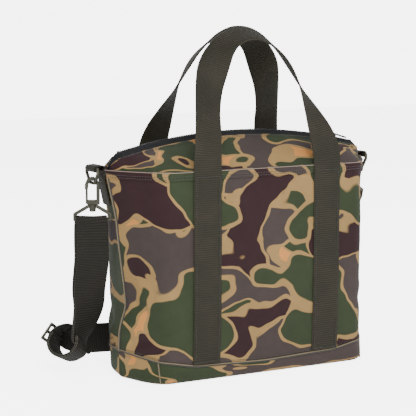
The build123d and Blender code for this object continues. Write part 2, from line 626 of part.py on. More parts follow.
GLIDE_ANGLE = -215.0
GLIDE_GAP = 1.4           # room between the glide and the strap it slides on
glide_at = on_curl(GLIDE_ANGLE, CURL_RADIUS + WEB_THICK + GLIDE_THICK / 2 + GLIDE_GAP)
glide_out = (on_curl(GLIDE_ANGLE, 2) - on_curl(GLIDE_ANGLE, 1)).normalized()
glide_plane = Plane(origin=tuple(glide_at), x_dir=tuple(curl_axis), z_dir=tuple(glide_out))
window_height = (GLIDE_LENGTH - 3 * GLIDE_WIRE) / 2
window = Rectangle(WEB + 1, window_height)
glide_face = Rectangle(WEB + 2 * GLIDE_WIRE + 1, GLIDE_LENGTH)
for shift in (-1, 1):
    glide_face -= window.moved(Location((0, shift * (GLIDE_WIRE + window_height) / 2, 0)))
save("tri_glide", extrude(glide_plane * glide_face, GLIDE_THICK / 2, both=True))
print("pieces", len(written))
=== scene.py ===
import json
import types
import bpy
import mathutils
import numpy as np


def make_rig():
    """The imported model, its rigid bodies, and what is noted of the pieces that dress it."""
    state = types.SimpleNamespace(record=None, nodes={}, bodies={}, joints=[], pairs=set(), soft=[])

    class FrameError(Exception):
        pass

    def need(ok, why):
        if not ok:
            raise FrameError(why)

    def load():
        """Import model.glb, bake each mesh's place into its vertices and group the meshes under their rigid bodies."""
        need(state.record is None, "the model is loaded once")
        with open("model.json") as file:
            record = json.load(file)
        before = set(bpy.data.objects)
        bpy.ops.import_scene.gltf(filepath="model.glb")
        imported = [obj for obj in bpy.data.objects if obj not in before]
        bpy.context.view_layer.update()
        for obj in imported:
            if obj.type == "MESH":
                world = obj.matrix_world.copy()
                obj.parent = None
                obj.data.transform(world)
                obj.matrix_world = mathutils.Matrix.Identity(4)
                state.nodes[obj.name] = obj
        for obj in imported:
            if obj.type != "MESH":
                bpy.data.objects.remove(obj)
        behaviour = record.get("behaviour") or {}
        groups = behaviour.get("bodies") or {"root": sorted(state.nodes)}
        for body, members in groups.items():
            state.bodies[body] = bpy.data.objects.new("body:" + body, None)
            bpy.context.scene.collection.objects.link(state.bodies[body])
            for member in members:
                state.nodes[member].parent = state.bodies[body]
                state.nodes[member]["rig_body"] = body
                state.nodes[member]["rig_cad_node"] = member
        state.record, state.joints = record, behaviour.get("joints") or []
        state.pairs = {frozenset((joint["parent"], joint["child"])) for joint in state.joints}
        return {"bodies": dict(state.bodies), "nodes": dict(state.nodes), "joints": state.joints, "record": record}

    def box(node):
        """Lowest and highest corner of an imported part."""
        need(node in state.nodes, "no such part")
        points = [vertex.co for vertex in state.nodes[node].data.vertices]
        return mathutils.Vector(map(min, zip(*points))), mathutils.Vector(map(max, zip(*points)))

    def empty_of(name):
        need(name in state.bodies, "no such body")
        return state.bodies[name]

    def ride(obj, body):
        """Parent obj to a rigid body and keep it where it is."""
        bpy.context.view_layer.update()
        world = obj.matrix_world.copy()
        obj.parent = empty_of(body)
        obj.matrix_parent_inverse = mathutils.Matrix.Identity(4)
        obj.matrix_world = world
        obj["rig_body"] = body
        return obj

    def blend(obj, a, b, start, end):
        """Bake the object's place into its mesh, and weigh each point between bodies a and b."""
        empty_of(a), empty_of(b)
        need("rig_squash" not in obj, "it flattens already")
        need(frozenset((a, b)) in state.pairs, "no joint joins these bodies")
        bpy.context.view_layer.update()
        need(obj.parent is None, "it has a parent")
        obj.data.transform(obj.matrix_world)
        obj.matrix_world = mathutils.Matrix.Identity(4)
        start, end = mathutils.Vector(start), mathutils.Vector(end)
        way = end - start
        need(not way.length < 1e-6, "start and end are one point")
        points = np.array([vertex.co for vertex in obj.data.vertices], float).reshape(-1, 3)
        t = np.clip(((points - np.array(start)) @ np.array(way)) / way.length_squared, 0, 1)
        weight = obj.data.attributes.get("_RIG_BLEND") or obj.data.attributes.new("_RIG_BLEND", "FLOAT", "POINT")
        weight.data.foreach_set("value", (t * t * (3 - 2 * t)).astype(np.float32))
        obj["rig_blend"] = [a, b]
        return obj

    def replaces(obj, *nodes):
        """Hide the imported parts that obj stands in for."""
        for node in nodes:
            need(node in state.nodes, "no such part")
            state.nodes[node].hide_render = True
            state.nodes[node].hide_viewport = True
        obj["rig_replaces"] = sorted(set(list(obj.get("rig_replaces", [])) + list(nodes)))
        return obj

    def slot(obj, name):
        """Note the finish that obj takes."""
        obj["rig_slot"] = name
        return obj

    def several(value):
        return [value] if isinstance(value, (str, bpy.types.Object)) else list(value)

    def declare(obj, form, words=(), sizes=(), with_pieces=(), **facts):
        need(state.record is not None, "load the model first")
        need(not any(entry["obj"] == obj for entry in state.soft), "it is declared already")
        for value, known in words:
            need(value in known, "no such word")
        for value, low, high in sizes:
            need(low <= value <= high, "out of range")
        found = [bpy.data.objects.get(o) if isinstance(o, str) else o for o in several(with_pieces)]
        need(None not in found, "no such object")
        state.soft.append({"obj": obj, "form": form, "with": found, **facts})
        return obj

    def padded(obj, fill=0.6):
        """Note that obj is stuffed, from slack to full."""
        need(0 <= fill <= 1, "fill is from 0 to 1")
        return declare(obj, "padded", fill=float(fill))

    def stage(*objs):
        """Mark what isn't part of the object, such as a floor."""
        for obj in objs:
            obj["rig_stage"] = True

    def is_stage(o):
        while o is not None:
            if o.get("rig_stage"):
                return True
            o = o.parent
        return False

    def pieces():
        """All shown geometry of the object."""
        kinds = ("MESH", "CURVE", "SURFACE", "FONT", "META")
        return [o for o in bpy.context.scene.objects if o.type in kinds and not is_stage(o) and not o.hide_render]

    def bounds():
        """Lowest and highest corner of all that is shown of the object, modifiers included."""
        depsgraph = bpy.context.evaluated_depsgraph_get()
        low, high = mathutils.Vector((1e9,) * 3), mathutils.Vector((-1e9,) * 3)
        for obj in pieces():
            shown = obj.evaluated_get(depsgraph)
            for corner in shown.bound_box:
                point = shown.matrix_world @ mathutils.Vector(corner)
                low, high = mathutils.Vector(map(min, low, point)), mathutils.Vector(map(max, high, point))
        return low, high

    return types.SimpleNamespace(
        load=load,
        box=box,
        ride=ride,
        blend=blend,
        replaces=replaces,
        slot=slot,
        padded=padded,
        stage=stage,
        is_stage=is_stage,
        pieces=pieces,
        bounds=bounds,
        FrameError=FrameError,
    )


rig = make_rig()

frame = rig.load()

import json
import math
from functools import lru_cache

import bmesh
import bpy
import numpy as np
from bpy.props import FloatProperty, FloatVectorProperty, PointerProperty
from mathutils import Matrix, Vector, noise

bl_info = {
    "name": "Insulated Cooler Bag",
    "version": (1, 0, 0),
    "blender": (4, 5, 0),
    "location": "3D View > Sidebar > Cooler Bag",
    "description": "Builds the cloth, webbing, zip and hardware of an insulated cooler bag",
    "category": "Object",
}

# Lengths below are millimetres unless a name says otherwise; meshes are metres.
MM = 0.001
CAD_BOX = [list(corner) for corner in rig.bounds()]


def span(node):
    """Lowest and highest corner of a design piece, in millimetres."""
    low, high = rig.box(node)
    return low / MM, high / MM


# ---- places read from the design ----
HEM = span("front_panel")[1].z
HALF_HEM = span("front_panel")[1].x
HALF_DEPTH = -span("front_panel")[0].y
HALF_END = span("base_panel")[1].x
HALF_BASE_DEPTH = -span("base_panel")[0].y - 1.5
HALF_BASE = HALF_END - 24.0
ZIP_TOP = span("zip_tape_front")[1].z + 0.2
HINGE_Y = 68.4
HANDLE_TOP = span("handle_front")[1].z
HANDLE_FOOT_Y = -span("handle_front")[0].y - 1.0
RING_LOW, RING_HIGH = span("d_ring_left")
LOOP_X = -(RING_LOW.x + RING_HIGH.x) / 2
LOOP_Y = (RING_LOW.y + RING_HIGH.y) / 2
TAB_Y_LOW, TAB_Y_HIGH = span("tab_left")[0].y, span("tab_left")[1].y
TAB_FOOT = span("tab_left")[0].z
RING_FLOOR = 241.4
HOOK_BASE = 213.7
RIGHT_LEAN = math.radians(15.0)
EYE_TURN = math.radians(208)
FOAM_TOP = span("foam_front")[1].z

# ---- cloth thicknesses and layers ----
SKIN = 1.2
FOAM = 8.0
LINER = 0.8
FOAM_SPLIT = 130.0
END_SEAM, CORNER_SEAM, MIDDLE_SEAM = 35.0, 28.0, 17.0

# ---- zip ----
ZIP_RADIUS = 700.0
ZIP_HALF = 165.0
CLOSURE_HALF = 182.0
TAPE_TILT = math.radians(31)
TAPE_WIDTH = 11.0
CHAIN_HALF = 2.65

# ---- webbing ----
WEB = 38.0
HALF_SPACING = 85.0
RIB_STEPS = 4
RIB_DEPTH = 0.2
RIDGE_SIDES = 6
GRIP_TILT = math.radians(25)

# ---- printed cloth ----
INKS = ("Tan", "Green", "Taupe", "Maroon", "Peach")
BACK_CLOTH = 2310.0

UPWARD = Vector((0, 0, 1))
FORWARD = Vector((0, 1, 0))


# ------------------------------------------------------------------ small maths
def mix(a, b, t):
    """A value, point or tuple part of the way from a to b."""
    if isinstance(a, tuple):
        return tuple(mix(p, q, t) for p, q in zip(a, b))
    return a + (b - a) * t


def ease(t):
    """0 below 0, 1 above 1, smooth between."""
    t = min(max(t, 0.0), 1.0)
    return t * t * (3 - 2 * t)


# ------------------------------------------------------------- form of the bag
def section(z):
    """Half width of the flat front, half depth, front shoulder, side seam,
    back shoulder and half width of the flat back at a height."""
    front = HALF_BASE - 4
    deep = HALF_BASE_DEPTH
    flare = HALF_HEM - 13.5
    levels = [
        (-1.0, (HALF_BASE, deep, (HALF_BASE + 13, 44), HALF_END, (HALF_BASE + 15, 42), HALF_BASE + 3)),
        (END_SEAM, (front, deep + 1.5, (HALF_BASE + 11, 40), HALF_END, (HALF_BASE + 17, 40), HALF_BASE + 5)),
        (58.0, (front, deep + 2, (HALF_BASE + 10, 40), HALF_END - 1, (HALF_BASE + 16, 40), HALF_BASE + 5)),
        (90.0, (front, deep + 2.2, (HALF_BASE + 7, 38), HALF_END - 10, (HALF_BASE + 10, 38), HALF_BASE + 5)),
        (190.0, (140.0, HALF_DEPTH - 0.4, (HALF_HEM - 27, 37), flare, (flare - 4, 34), HALF_BASE + 3)),
        (HEM, (139.0, HALF_DEPTH, (HALF_HEM - 21, 36), HALF_HEM, (HALF_HEM - 4, 30), 140.0)),
    ]
    heights = [h for h, _ in levels]
    i = max(k for k in range(len(levels)) if heights[k] <= max(z, -1.0))
    if i >= len(levels) - 1:
        return levels[-1][1]
    t = (z - heights[i]) / (heights[i + 1] - heights[i])
    return mix(levels[i][1], levels[i + 1][1], 0.65 * t + 0.35 * ease(t))


@lru_cache(maxsize=None)
def half_curve(z, back):
    """Points of the wall from mid-width round to the right side seam at a
    height, with the running length: two arrays."""
    flat_front, deep, front, seam, behind, flat_back = section(z)
    flat, shoulder = (flat_back, behind) if back else (flat_front, front)
    corners = [(0.0, deep), (flat * 0.5, deep), (flat - 22, deep), (flat - 1, deep - 0.6),
               shoulder, (mix(shoulder[0], seam, 0.62), shoulder[1] * 0.38), (seam, 0.0)]
    side = 1.0 if back else -1.0
    points = []
    for i in range(1, len(corners) - 1):
        start = corners[0] if i == 1 else mix(corners[i - 1], corners[i], 0.5)
        end = corners[-1] if i == len(corners) - 2 else mix(corners[i], corners[i + 1], 0.5)
        for k in range(12):
            t = k / 12
            points.append(mix(mix(start, corners[i], t), mix(corners[i], end, t), t))
    points.append(corners[-1])
    line = np.array([(x, side * y) for x, y in points])
    run = np.concatenate([[0.0], np.cumsum(np.hypot(*np.diff(line, axis=0).T))])
    return line, run


def half_length(z, back):
    """Length of cloth from mid-width to the side seam at a height."""
    return half_curve(round(z, 1), back)[1][-1]


CREASES = [
    # (back?, along the wall, height) to (along, height), half width, depth
    (False, -190.0, 47.0, -128.0, 62.0, 9.0, 2.6),
    (False, -186.0, 92.0, -150.0, 72.0, 10.0, 2.2),
    (False, -182.0, 150.0, -158.0, 118.0, 12.0, 1.6),
    (False, -176.0, 236.0, -150.0, 190.0, 12.0, 1.6),
    (False, -40.0, 250.0, -20.0, 200.0, 14.0, 1.1),
    (False, 28.0, 30.0, 52.0, 66.0, 14.0, 1.2),
    (False, 184.0, 60.0, 140.0, 84.0, 11.0, 2.2),
    (False, 180.0, 140.0, 152.0, 170.0, 12.0, 1.5),
    (True, -178.0, 66.0, -128.0, 92.0, 12.0, 2.4),
    (True, -30.0, 246.0, -52.0, 190.0, 15.0, 1.2),
    (True, 176.0, 84.0, 130.0, 66.0, 12.0, 2.4),
    (True, 40.0, 36.0, 16.0, 76.0, 15.0, 1.3),
]


def relief(along, z, back):
    """How far the padded wall stands out of its plain form: a crown between
    the seams, soft dents and creases."""
    reach = half_length(z, back)
    height = min(max((z - 24) / (HEM - 24), 0.0), 1.0)
    crown = 2.2 * math.sin(math.pi * height) ** 0.8 * max(1 - (along / (reach * 0.98)) ** 2, 0.0)
    place = Vector((along * 0.016, z * 0.02, 7.0 if back else 2.0))
    sag = 1.0 * noise.noise(place) + 0.45 * noise.noise(place * 2.7)
    fold = 0.0
    for other, a0, z0, a1, z1, width, depth in CREASES:
        if other != back:
            continue
        da, dz = a1 - a0, z1 - z0
        t = ((along - a0) * da + (z - z0) * dz) / (da * da + dz * dz)
        near = min(max(t, 0.0), 1.0)
        off = math.hypot(along - a0 - near * da, z - z0 - near * dz) / width
        if off < 2.5:
            side = (along - a0) * dz - (z - z0) * da
            lift = 0.55 * math.exp(-(off - 1.2) ** 2 * 2.2) * (1 if side > 0 else 0.4)
            fold += depth * (1 - 0.5 * near) * (lift - math.exp(-off * off * 2.0))
    edge = min(ease((z - 16) / 16), ease((HEM - z) / 16)) * ease((reach - abs(along)) / 12)
    return crown * ease((z - 20) / 20) + (sag + fold) * edge


def wall(u, z, back=False, out=0.0, soft=1.0):
    """A point on the wall: u runs -1 to 1 from the left side seam to the
    right one, out is the distance outside the cloth's face."""
    line, run = half_curve(round(z, 1), back)
    at = min(abs(u), 1.0) * run[-1]
    i = min(int(np.searchsorted(run, at, side="right")) - 1, len(run) - 2)
    t = (at - run[i]) / (run[i + 1] - run[i])
    x, y = mix(tuple(line[i]), tuple(line[i + 1]), t)
    dx, dy = (line[i + 1] - line[i]) / (run[i + 1] - run[i])
    nx, ny = (-dy, dx) if back else (dy, -dx)
    turn = ease((abs(u) - 0.86) / 0.14)
    nx, ny = mix(nx, 1.0, turn), mix(ny, 0.0, turn)
    size = math.hypot(nx, ny)
    away = out + soft * relief(math.copysign(at, u), z, back)
    x, y = x + nx / size * away, y + ny / size * away
    return Vector((math.copysign(x, u) if u else x, y, z))


def seam_height(x):
    """Height of the seam between base and walls."""
    x = abs(x)
    marks = [(0, MIDDLE_SEAM), (95, MIDDLE_SEAM + 3), (HALF_BASE - 3, CORNER_SEAM), (HALF_END, END_SEAM),
             (260, 38)]
    for (x0, z0), (x1, z1) in zip(marks, marks[1:]):
        if x <= x1:
            return mix(z0, z1, mix((x - x0) / (x1 - x0), ease((x - x0) / (x1 - x0)), 0.5))
    return marks[-1][1]


def zip_height(x):
    """Height of the zip over a place along the bag."""
    x = min(abs(x), CLOSURE_HALF)
    arc = ZIP_TOP - ZIP_RADIUS + math.sqrt(ZIP_RADIUS ** 2 - x * x)
    return arc - 15.0 * (max(x - 168.0, 0.0) / (CLOSURE_HALF - 168.0)) ** 2


def opening_share(x):
    """How much of the flap's turn a place along the zip takes."""
    return ease((136.0 - abs(x)) / 80.0)


# ---------------------------------------------------------------- mesh helpers
def finish_object(name, bm, material, smooth=True):
    """Make an object of a bmesh given in millimetres."""
    bmesh.ops.scale(bm, vec=(MM, MM, MM), verts=bm.verts)
    mesh = bpy.data.meshes.new(name)
    for face in bm.faces:
        face.smooth = smooth
    bm.to_mesh(mesh)
    bm.free()
    mesh.materials.append(material)
    obj = bpy.data.objects.new(name, mesh)
    bpy.context.scene.collection.objects.link(obj)
    return obj


def moved_grid(bm, across, along, place, cloth):
    """Add a grid whose corners run -1 to 1 both ways, move each of its
    vertices to place(u, v) and give it the flat cloth place cloth(u, v)."""
    layer = bm.loops.layers.uv.get("cloth") or bm.loops.layers.uv.new("cloth")
    made = bmesh.ops.create_grid(bm, x_segments=across, y_segments=along, size=1.0)["verts"]
    at = {v: (v.co.x, v.co.y) for v in made}
    for face in {f for v in made for f in v.link_faces}:
        for loop in face.loops:
            loop[layer].uv = cloth(*at[loop.vert])
    for v in made:
        v.co = place(*at[v])
    return made


def face_outwards(bm, centre=(0.0, 0.0, 130.0), inwards=False):
    """Turn an open sheet so that its faces point away from a centre."""
    bmesh.ops.recalc_face_normals(bm, faces=bm.faces)
    bm.normal_update()
    total = sum(f.normal.dot(f.calc_center_median() - Vector(centre)) * f.calc_area() for f in bm.faces)
    if (total < 0) != inwards:
        bmesh.ops.reverse_faces(bm, faces=bm.faces)


def thicken(obj, thickness):
    """Give a sheet its thickness, inwards from its face."""
    solid = obj.modifiers.new("thickness", "SOLIDIFY")
    solid.thickness = thickness * MM
    solid.offset = -1.0
    solid.use_even_offset = True
    solid.thickness_clamp = 0.0
    return obj


def closed_route(points, step):
    """A smooth line through points given as (place, width direction). Returns
    places, width directions, tangents and lengths every step."""
    fine = []
    n = len(points)
    for i in range(n - 1):
        quad = [points[max(i - 1, 0)], points[i], points[i + 1], points[min(i + 2, n - 1)]]
        parts = max(int((quad[2][0] - quad[1][0]).length / 1.0), 4)
        for k in range(parts + (i == n - 2)):
            t = k / parts
            weights = (-0.5 * t + t * t - 0.5 * t ** 3, 1 - 2.5 * t * t + 1.5 * t ** 3,
                       0.5 * t + 2 * t * t - 1.5 * t ** 3, -0.5 * t * t + 0.5 * t ** 3)
            fine.append([sum((q[j] * w for q, w in zip(quad, weights)), Vector()) for j in (0, 1)])
    places, acrosses = (np.array([pair[j] for pair in fine]) for j in (0, 1))
    run = np.concatenate([[0.0], np.cumsum(np.linalg.norm(np.diff(places, axis=0), axis=1))])
    at = np.linspace(0, run[-1], max(int(round(run[-1] / step)), 2) + 1)
    place, across = (np.stack([np.interp(at, run, v[:, k]) for k in range(3)], 1) for v in (places, acrosses))
    tangent = np.gradient(place, axis=0)
    tangent /= np.linalg.norm(tangent, axis=1)[:, None]
    across -= tangent * (across * tangent).sum(1)[:, None]
    across /= np.linalg.norm(across, axis=1)[:, None]
    return place, across, tangent, at


STRIP_EDGE = [(-1.0, 0.0), (-0.985, 0.7), (-0.93, 1.0), (-0.5, 1.0), (0.0, 1.0), (0.5, 1.0), (0.93, 1.0),
              (0.985, 0.7)]
STRIP_EDGE += [(-a, -b) for a, b in STRIP_EDGE]


def swept(name, ring, run, corner, flat, material):
    """A closed skin round a route: corner k of ring i lies at corner(k, i) in
    space and at flat(u, k, i) on the cloth."""
    last = len(run) - 1

    def station(u, v):
        return int(round((u + 1) / 2 * ring)) % ring, int(round((v + 1) / 2 * last))

    bm = bmesh.new()
    moved_grid(bm, ring, last, lambda u, v: corner(*station(u, v)), lambda u, v: flat(u, *station(u, v)))
    bmesh.ops.remove_doubles(bm, verts=bm.verts, dist=1e-4)
    bmesh.ops.holes_fill(bm, edges=[e for e in bm.edges if e.is_boundary], sides=0)
    bmesh.ops.recalc_face_normals(bm, faces=bm.faces)
    return finish_object(name, bm, material)


def strip(name, points, width, thick, material, pitch, offset=0.0):
    """A woven strip along a route, with cross ribs pitch apart. offset moves
    it off the route along its face."""
    place, across, tangent, run = closed_route(points, pitch / RIB_STEPS)
    up = np.cross(tangent, across)
    place = place + up * offset

    def corner(k, i):
        a, b = STRIP_EDGE[k]
        swell = 1 + (RIB_DEPTH * math.cos(math.tau * run[i] / pitch) if abs(a) < 0.95 else 0.0)
        return place[i] + across[i] * (a * width / 2) + up[i] * (b * swell * thick / 2)

    return swept(name, len(STRIP_EDGE), run, corner,
                 lambda u, k, i: (STRIP_EDGE[k][0] * width / 2 * MM, run[i] * MM), material)


def cord_ridge(name, points, radius, material):
    """A thin round ridge along a line of points, such as a rolled seam."""
    place, across, tangent, run = closed_route(points, 3.0)
    up = np.cross(tangent, across)

    def corner(k, i):
        turn = math.tau * k / RIDGE_SIDES
        return place[i] + (across[i] * math.cos(turn) + up[i] * math.sin(turn)) * radius

    return swept(name, RIDGE_SIDES, run, corner, lambda u, k, i: (u * radius * 3 * MM, run[i] * MM), material)


def repeated(bm, template, places):
    """Add a copy of a small bmesh at each place, then free it."""
    mesh = bpy.data.meshes.new("template")
    template.to_mesh(mesh)
    template.free()
    for place in places:
        first = len(bm.verts)
        bm.from_mesh(mesh)
        bm.verts.ensure_lookup_table()
        bmesh.ops.transform(bm, matrix=place, verts=bm.verts[first:])
    bpy.data.meshes.remove(mesh)


def stitches(name, rows, pitch=3.6):
    """Sewing stitches along rows of points, each (place, outward direction)."""
    length, radius = 2.7, 0.32
    stitch = bmesh.new()
    bmesh.ops.create_cone(stitch, cap_ends=True, segments=5, radius1=radius, radius2=radius, depth=length)
    long_edges = [e for e in stitch.edges if abs(e.verts[0].co.z - e.verts[1].co.z) > 1]
    bmesh.ops.subdivide_edges(stitch, edges=long_edges, cuts=2)
    for v in stitch.verts:
        v.co.x += 0.25 - 0.55 * (2 * v.co.z / length) ** 2
    places = []
    for row in rows:
        place, outward, tangent, run = closed_route(row, pitch)
        for i in range(len(run) - 1):
            z, x = Vector(tangent[i]), Vector(outward[i])
            middle = Vector((place[i] + place[i + 1]) / 2)
            places.append(Matrix.Translation(middle) @ Matrix((x, z.cross(x), z)).transposed().to_4x4())
    bm = bmesh.new()
    repeated(bm, stitch, places)
    bmesh.ops.recalc_face_normals(bm, faces=bm.faces)
    return finish_object(name, bm, material("dark thread"))


def eased_copy(node, name, material, bevel=0.5, segments=2, swell=0.0):
    """A piece of the design with its corners eased, for what is cast,
    moulded or bent from wire. swell moves its faces outwards."""
    bm = bmesh.new()
    bm.from_mesh(frame["nodes"][node].data)
    bmesh.ops.scale(bm, vec=(1 / MM,) * 3, verts=bm.verts)
    bmesh.ops.remove_doubles(bm, verts=bm.verts, dist=0.004)
    bmesh.ops.dissolve_limit(bm, angle_limit=math.radians(1.5), verts=bm.verts, edges=bm.edges)
    keen = [e for e in bm.edges if len(e.link_faces) == 2 and e.calc_face_angle(0.0) > math.radians(32)]
    bmesh.ops.bevel(bm, geom=keen, offset=bevel, offset_type="OFFSET", segments=segments, profile=0.5,
                    affect="EDGES", material=-1, clamp_overlap=True)
    bmesh.ops.remove_doubles(bm, verts=bm.verts, dist=0.004)
    bmesh.ops.recalc_face_normals(bm, faces=bm.faces)
    bm.normal_update()
    for vert in bm.verts:
        vert.co += vert.normal * swell
    for edge in bm.edges:
        edge.smooth = edge.calc_face_angle(0.0) < math.radians(38)
    obj = finish_object(name, bm, material)
    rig.replaces(obj, node)
    return obj


def apply_modifiers(obj):
    """Put what the modifiers make into the mesh itself."""
    graph = bpy.context.evaluated_depsgraph_get()
    mesh = bpy.data.meshes.new_from_object(obj.evaluated_get(graph))
    obj.modifiers.clear()
    obj.data = mesh
    return obj


def weigh(obj, share):
    """Set how far each vertex follows the second body of a blend."""
    values = np.array([share(v.co / MM) for v in obj.data.vertices], np.float32)
    obj.data.attributes["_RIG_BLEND"].data.foreach_set("value", values)
    return obj


# ------------------------------------------------------------------ materials
class Graph:
    """A few short ways to write a node tree."""

    def __init__(self, tree):
        self.tree = tree

    def feed(self, sockets, values):
        """Link or set sockets, each named or numbered by its key."""
        for key, value in values.items():
            if isinstance(value, bpy.types.NodeSocket):
                self.tree.links.new(value, sockets[key])
            else:
                sockets[key].default_value = value

    def node(self, kind, inputs=None, **settings):
        made = self.tree.nodes.new(kind)
        for key, value in settings.items():
            setattr(made, key, value)
        self.feed(made.inputs, inputs or {})
        return made

    def math(self, operation, a, b=0.0, c=0.0):
        return self.node("ShaderNodeMath", {0: a, 1: b, 2: c}, operation=operation).outputs[0]

    def vector_math(self, operation, *values):
        return self.node("ShaderNodeVectorMath", dict(enumerate(values)), operation=operation).outputs[0]

    def mix(self, amount, a, b, blend="MIX"):
        return self.node("ShaderNodeMix", {"Factor": amount, 6: a, 7: b}, data_type="RGBA",
                         blend_type=blend).outputs[2]

    def noise(self, vector, scale, detail=3.0, rough=0.5):
        return self.node("ShaderNodeTexNoise", {"Vector": vector, "Scale": scale, "Detail": detail,
                                                "Roughness": rough})

    def band(self, value, low, high):
        """0 below low, 1 above high."""
        return self.node("ShaderNodeMapRange", {"Value": value, "From Min": low, "From Max": high},
                         interpolation_type="SMOOTHSTEP").outputs[0]

    def bump(self, height, strength, distance):
        """A normal from a height."""
        return self.node("ShaderNodeBump", {"Height": height, "Strength": strength,
                                            "Distance": distance}).outputs[0]


def shader_group(name, inputs, outputs, build):
    """A node group with named inputs (name, kind, default) and outputs."""
    tree = bpy.data.node_groups.get(name)
    if tree:
        return tree
    tree = bpy.data.node_groups.new(name, "ShaderNodeTree")
    for label, kind, default in inputs:
        socket = tree.interface.new_socket(label, in_out="INPUT", socket_type="NodeSocket" + kind)
        if default is not None:
            socket.default_value = default
    for label, kind in outputs:
        tree.interface.new_socket(label, in_out="OUTPUT", socket_type="NodeSocket" + kind)
    graph = Graph(tree)
    given = graph.node("NodeGroupInput")
    results = build(graph, given.outputs)
    graph.node("NodeGroupOutput", results)
    return tree


def blotch_print_group():
    """The cloth's printed pattern: rounded blotches laid over each other,
    each with a pale rim, on a pale ground with warmer patches."""
    soft, blush_level = 0.0035, 0.580
    layers = (  # place in the noise, size, level of the ink's edge, width of the pale rim, ink
        (0.3, 1.0, 0.452, 0.030, "Green"), (1.7, 0.92, 0.496, 0.032, "Taupe"),
        (2.9, 1.15, 0.590, 0.034, "Maroon"), (5.2, 0.9, 0.592, 0.032, "Green"))

    def build(g, given):
        scale = g.math("DIVIDE", 1.0, given["Blotch Size"])
        placed = g.node("ShaderNodeMapping", {"Vector": given["Vector"], "Rotation": (0, 0, 0.35),
                                              "Scale": (0.86, 1.1, 1.0)}).outputs[0]
        drift = g.noise(placed, g.math("MULTIPLY", scale, 1.9), 1.0, 0.5).outputs["Color"]
        drift = g.vector_math("SUBTRACT", drift, (0.5, 0.5, 0.5))
        placed = g.vector_math("MULTIPLY_ADD", drift, given["Wander"], placed)

        def field(height, size):
            shifted = g.vector_math("ADD", placed, (height, -height, height))
            return g.noise(shifted, g.math("MULTIPLY", scale, size), 0.6, 0.4).outputs[0]

        def inked(value, level, colour, ink):
            return g.mix(g.band(value, level - soft, level + soft), colour, given[ink])

        colour = inked(field(4.1, 0.85), blush_level, given["Tan"], "Peach")
        for height, size, level, rim, ink in layers:
            value = field(height, size)
            colour = inked(value, level - rim, colour, "Tan")
            colour = inked(value, level, colour, ink)
        return {"Color": colour}

    inks = [(ink, "Color", (0.5, 0.5, 0.5, 1)) for ink in INKS]
    return shader_group("Blotch Print", [("Vector", "Vector", None), ("Blotch Size", "Float", 0.06),
                                         ("Wander", "Vector", (0.016, 0.016, 0.0)), *inks],
                        [("Color", "Color")], build)


def weave_group():
    """Crossing threads: a height and a light-and-dark value."""

    def build(g, given):
        step = g.math("DIVIDE", math.tau, given["Thread"])
        parts = g.node("ShaderNodeSeparateXYZ", {"Vector": given["Vector"]}).outputs
        over = g.math("SINE", g.math("MULTIPLY", parts[0], step))
        under = g.math("SINE", g.math("MULTIPLY", parts[1], step))
        height = g.math("ADD", g.math("ABSOLUTE", over), g.math("ABSOLUTE", under))
        fuzz = g.noise(given["Vector"], g.math("DIVIDE", 1.4, given["Thread"]), 3.0, 0.6).outputs[0]
        height = g.math("MULTIPLY_ADD", fuzz, 0.8, g.math("MULTIPLY", height, 0.5))
        return {"Height": height, "Shade": g.band(height, 0.35, 1.4)}

    return shader_group("Thread Weave", [("Vector", "Vector", None), ("Thread", "Float", 0.0008)],
                        [("Height", "Float"), ("Shade", "Float")], build)


def handled_group():
    """Broad light and dark from handling and fading: a value about one."""

    def build(g, given):
        broad = g.noise(given["Vector"], 9.0, 3.0, 0.55).outputs[0]
        fine = g.noise(given["Vector"], 70.0, 3.0, 0.6).outputs[0]
        both = g.math("MULTIPLY_ADD", fine, 0.35, g.math("MULTIPLY", broad, 0.65))
        value = g.math("MULTIPLY_ADD", g.math("SUBTRACT", both, 0.5), given["Amount"], 1.0)
        return {"Value": value}

    return shader_group("Handled Shade", [("Vector", "Vector", None), ("Amount", "Float", 0.4)],
                        [("Value", "Float")], build)


def place_in_material(g, tree, inputs):
    """Place a node group in a material with its own values."""
    return g.node("ShaderNodeGroup", inputs, node_tree=tree).outputs


def new_material(name):
    """An empty material, its graph and its shader."""
    material = bpy.data.materials.new(name)
    material.use_nodes = True
    material.node_tree.nodes.clear()
    g = Graph(material.node_tree)
    shader = g.node("ShaderNodeBsdfPrincipled")
    g.node("ShaderNodeOutputMaterial", {"Surface": shader.outputs[0]})
    return material, g, shader


def rgba(colour):
    return (*colour, 1.0)


def wire(g, shader, **sockets):
    """Link or set the shader's sockets; underscores stand for spaces."""
    g.feed(shader.inputs, {key.replace("_", " "): value for key, value in sockets.items()})


def grey(g, value):
    """A grey of a value."""
    return g.node("ShaderNodeCombineColor", {0: value, 1: value, 2: value}).outputs[0]


def shaded(g, colour, value):
    """A colour made lighter or darker by a value about one."""
    return g.mix(1.0, colour, grey(g, value), "MULTIPLY")


def cloth_inputs(g, thread, amount):
    """A cloth's flat coordinates, its weave and its handled shade."""
    flat = g.node("ShaderNodeUVMap", uv_map="cloth").outputs[0]
    woven = place_in_material(g, weave_group(), {"Vector": flat, "Thread": thread})
    handled = place_in_material(g, handled_group(), {"Vector": flat, "Amount": amount})["Value"]
    return flat, woven, handled


def solid_inputs(g, amount):
    """A solid's own coordinates and its handled shade."""
    where = g.node("ShaderNodeTexCoord").outputs["Object"]
    return where, place_in_material(g, handled_group(), {"Vector": where, "Amount": amount})["Value"]


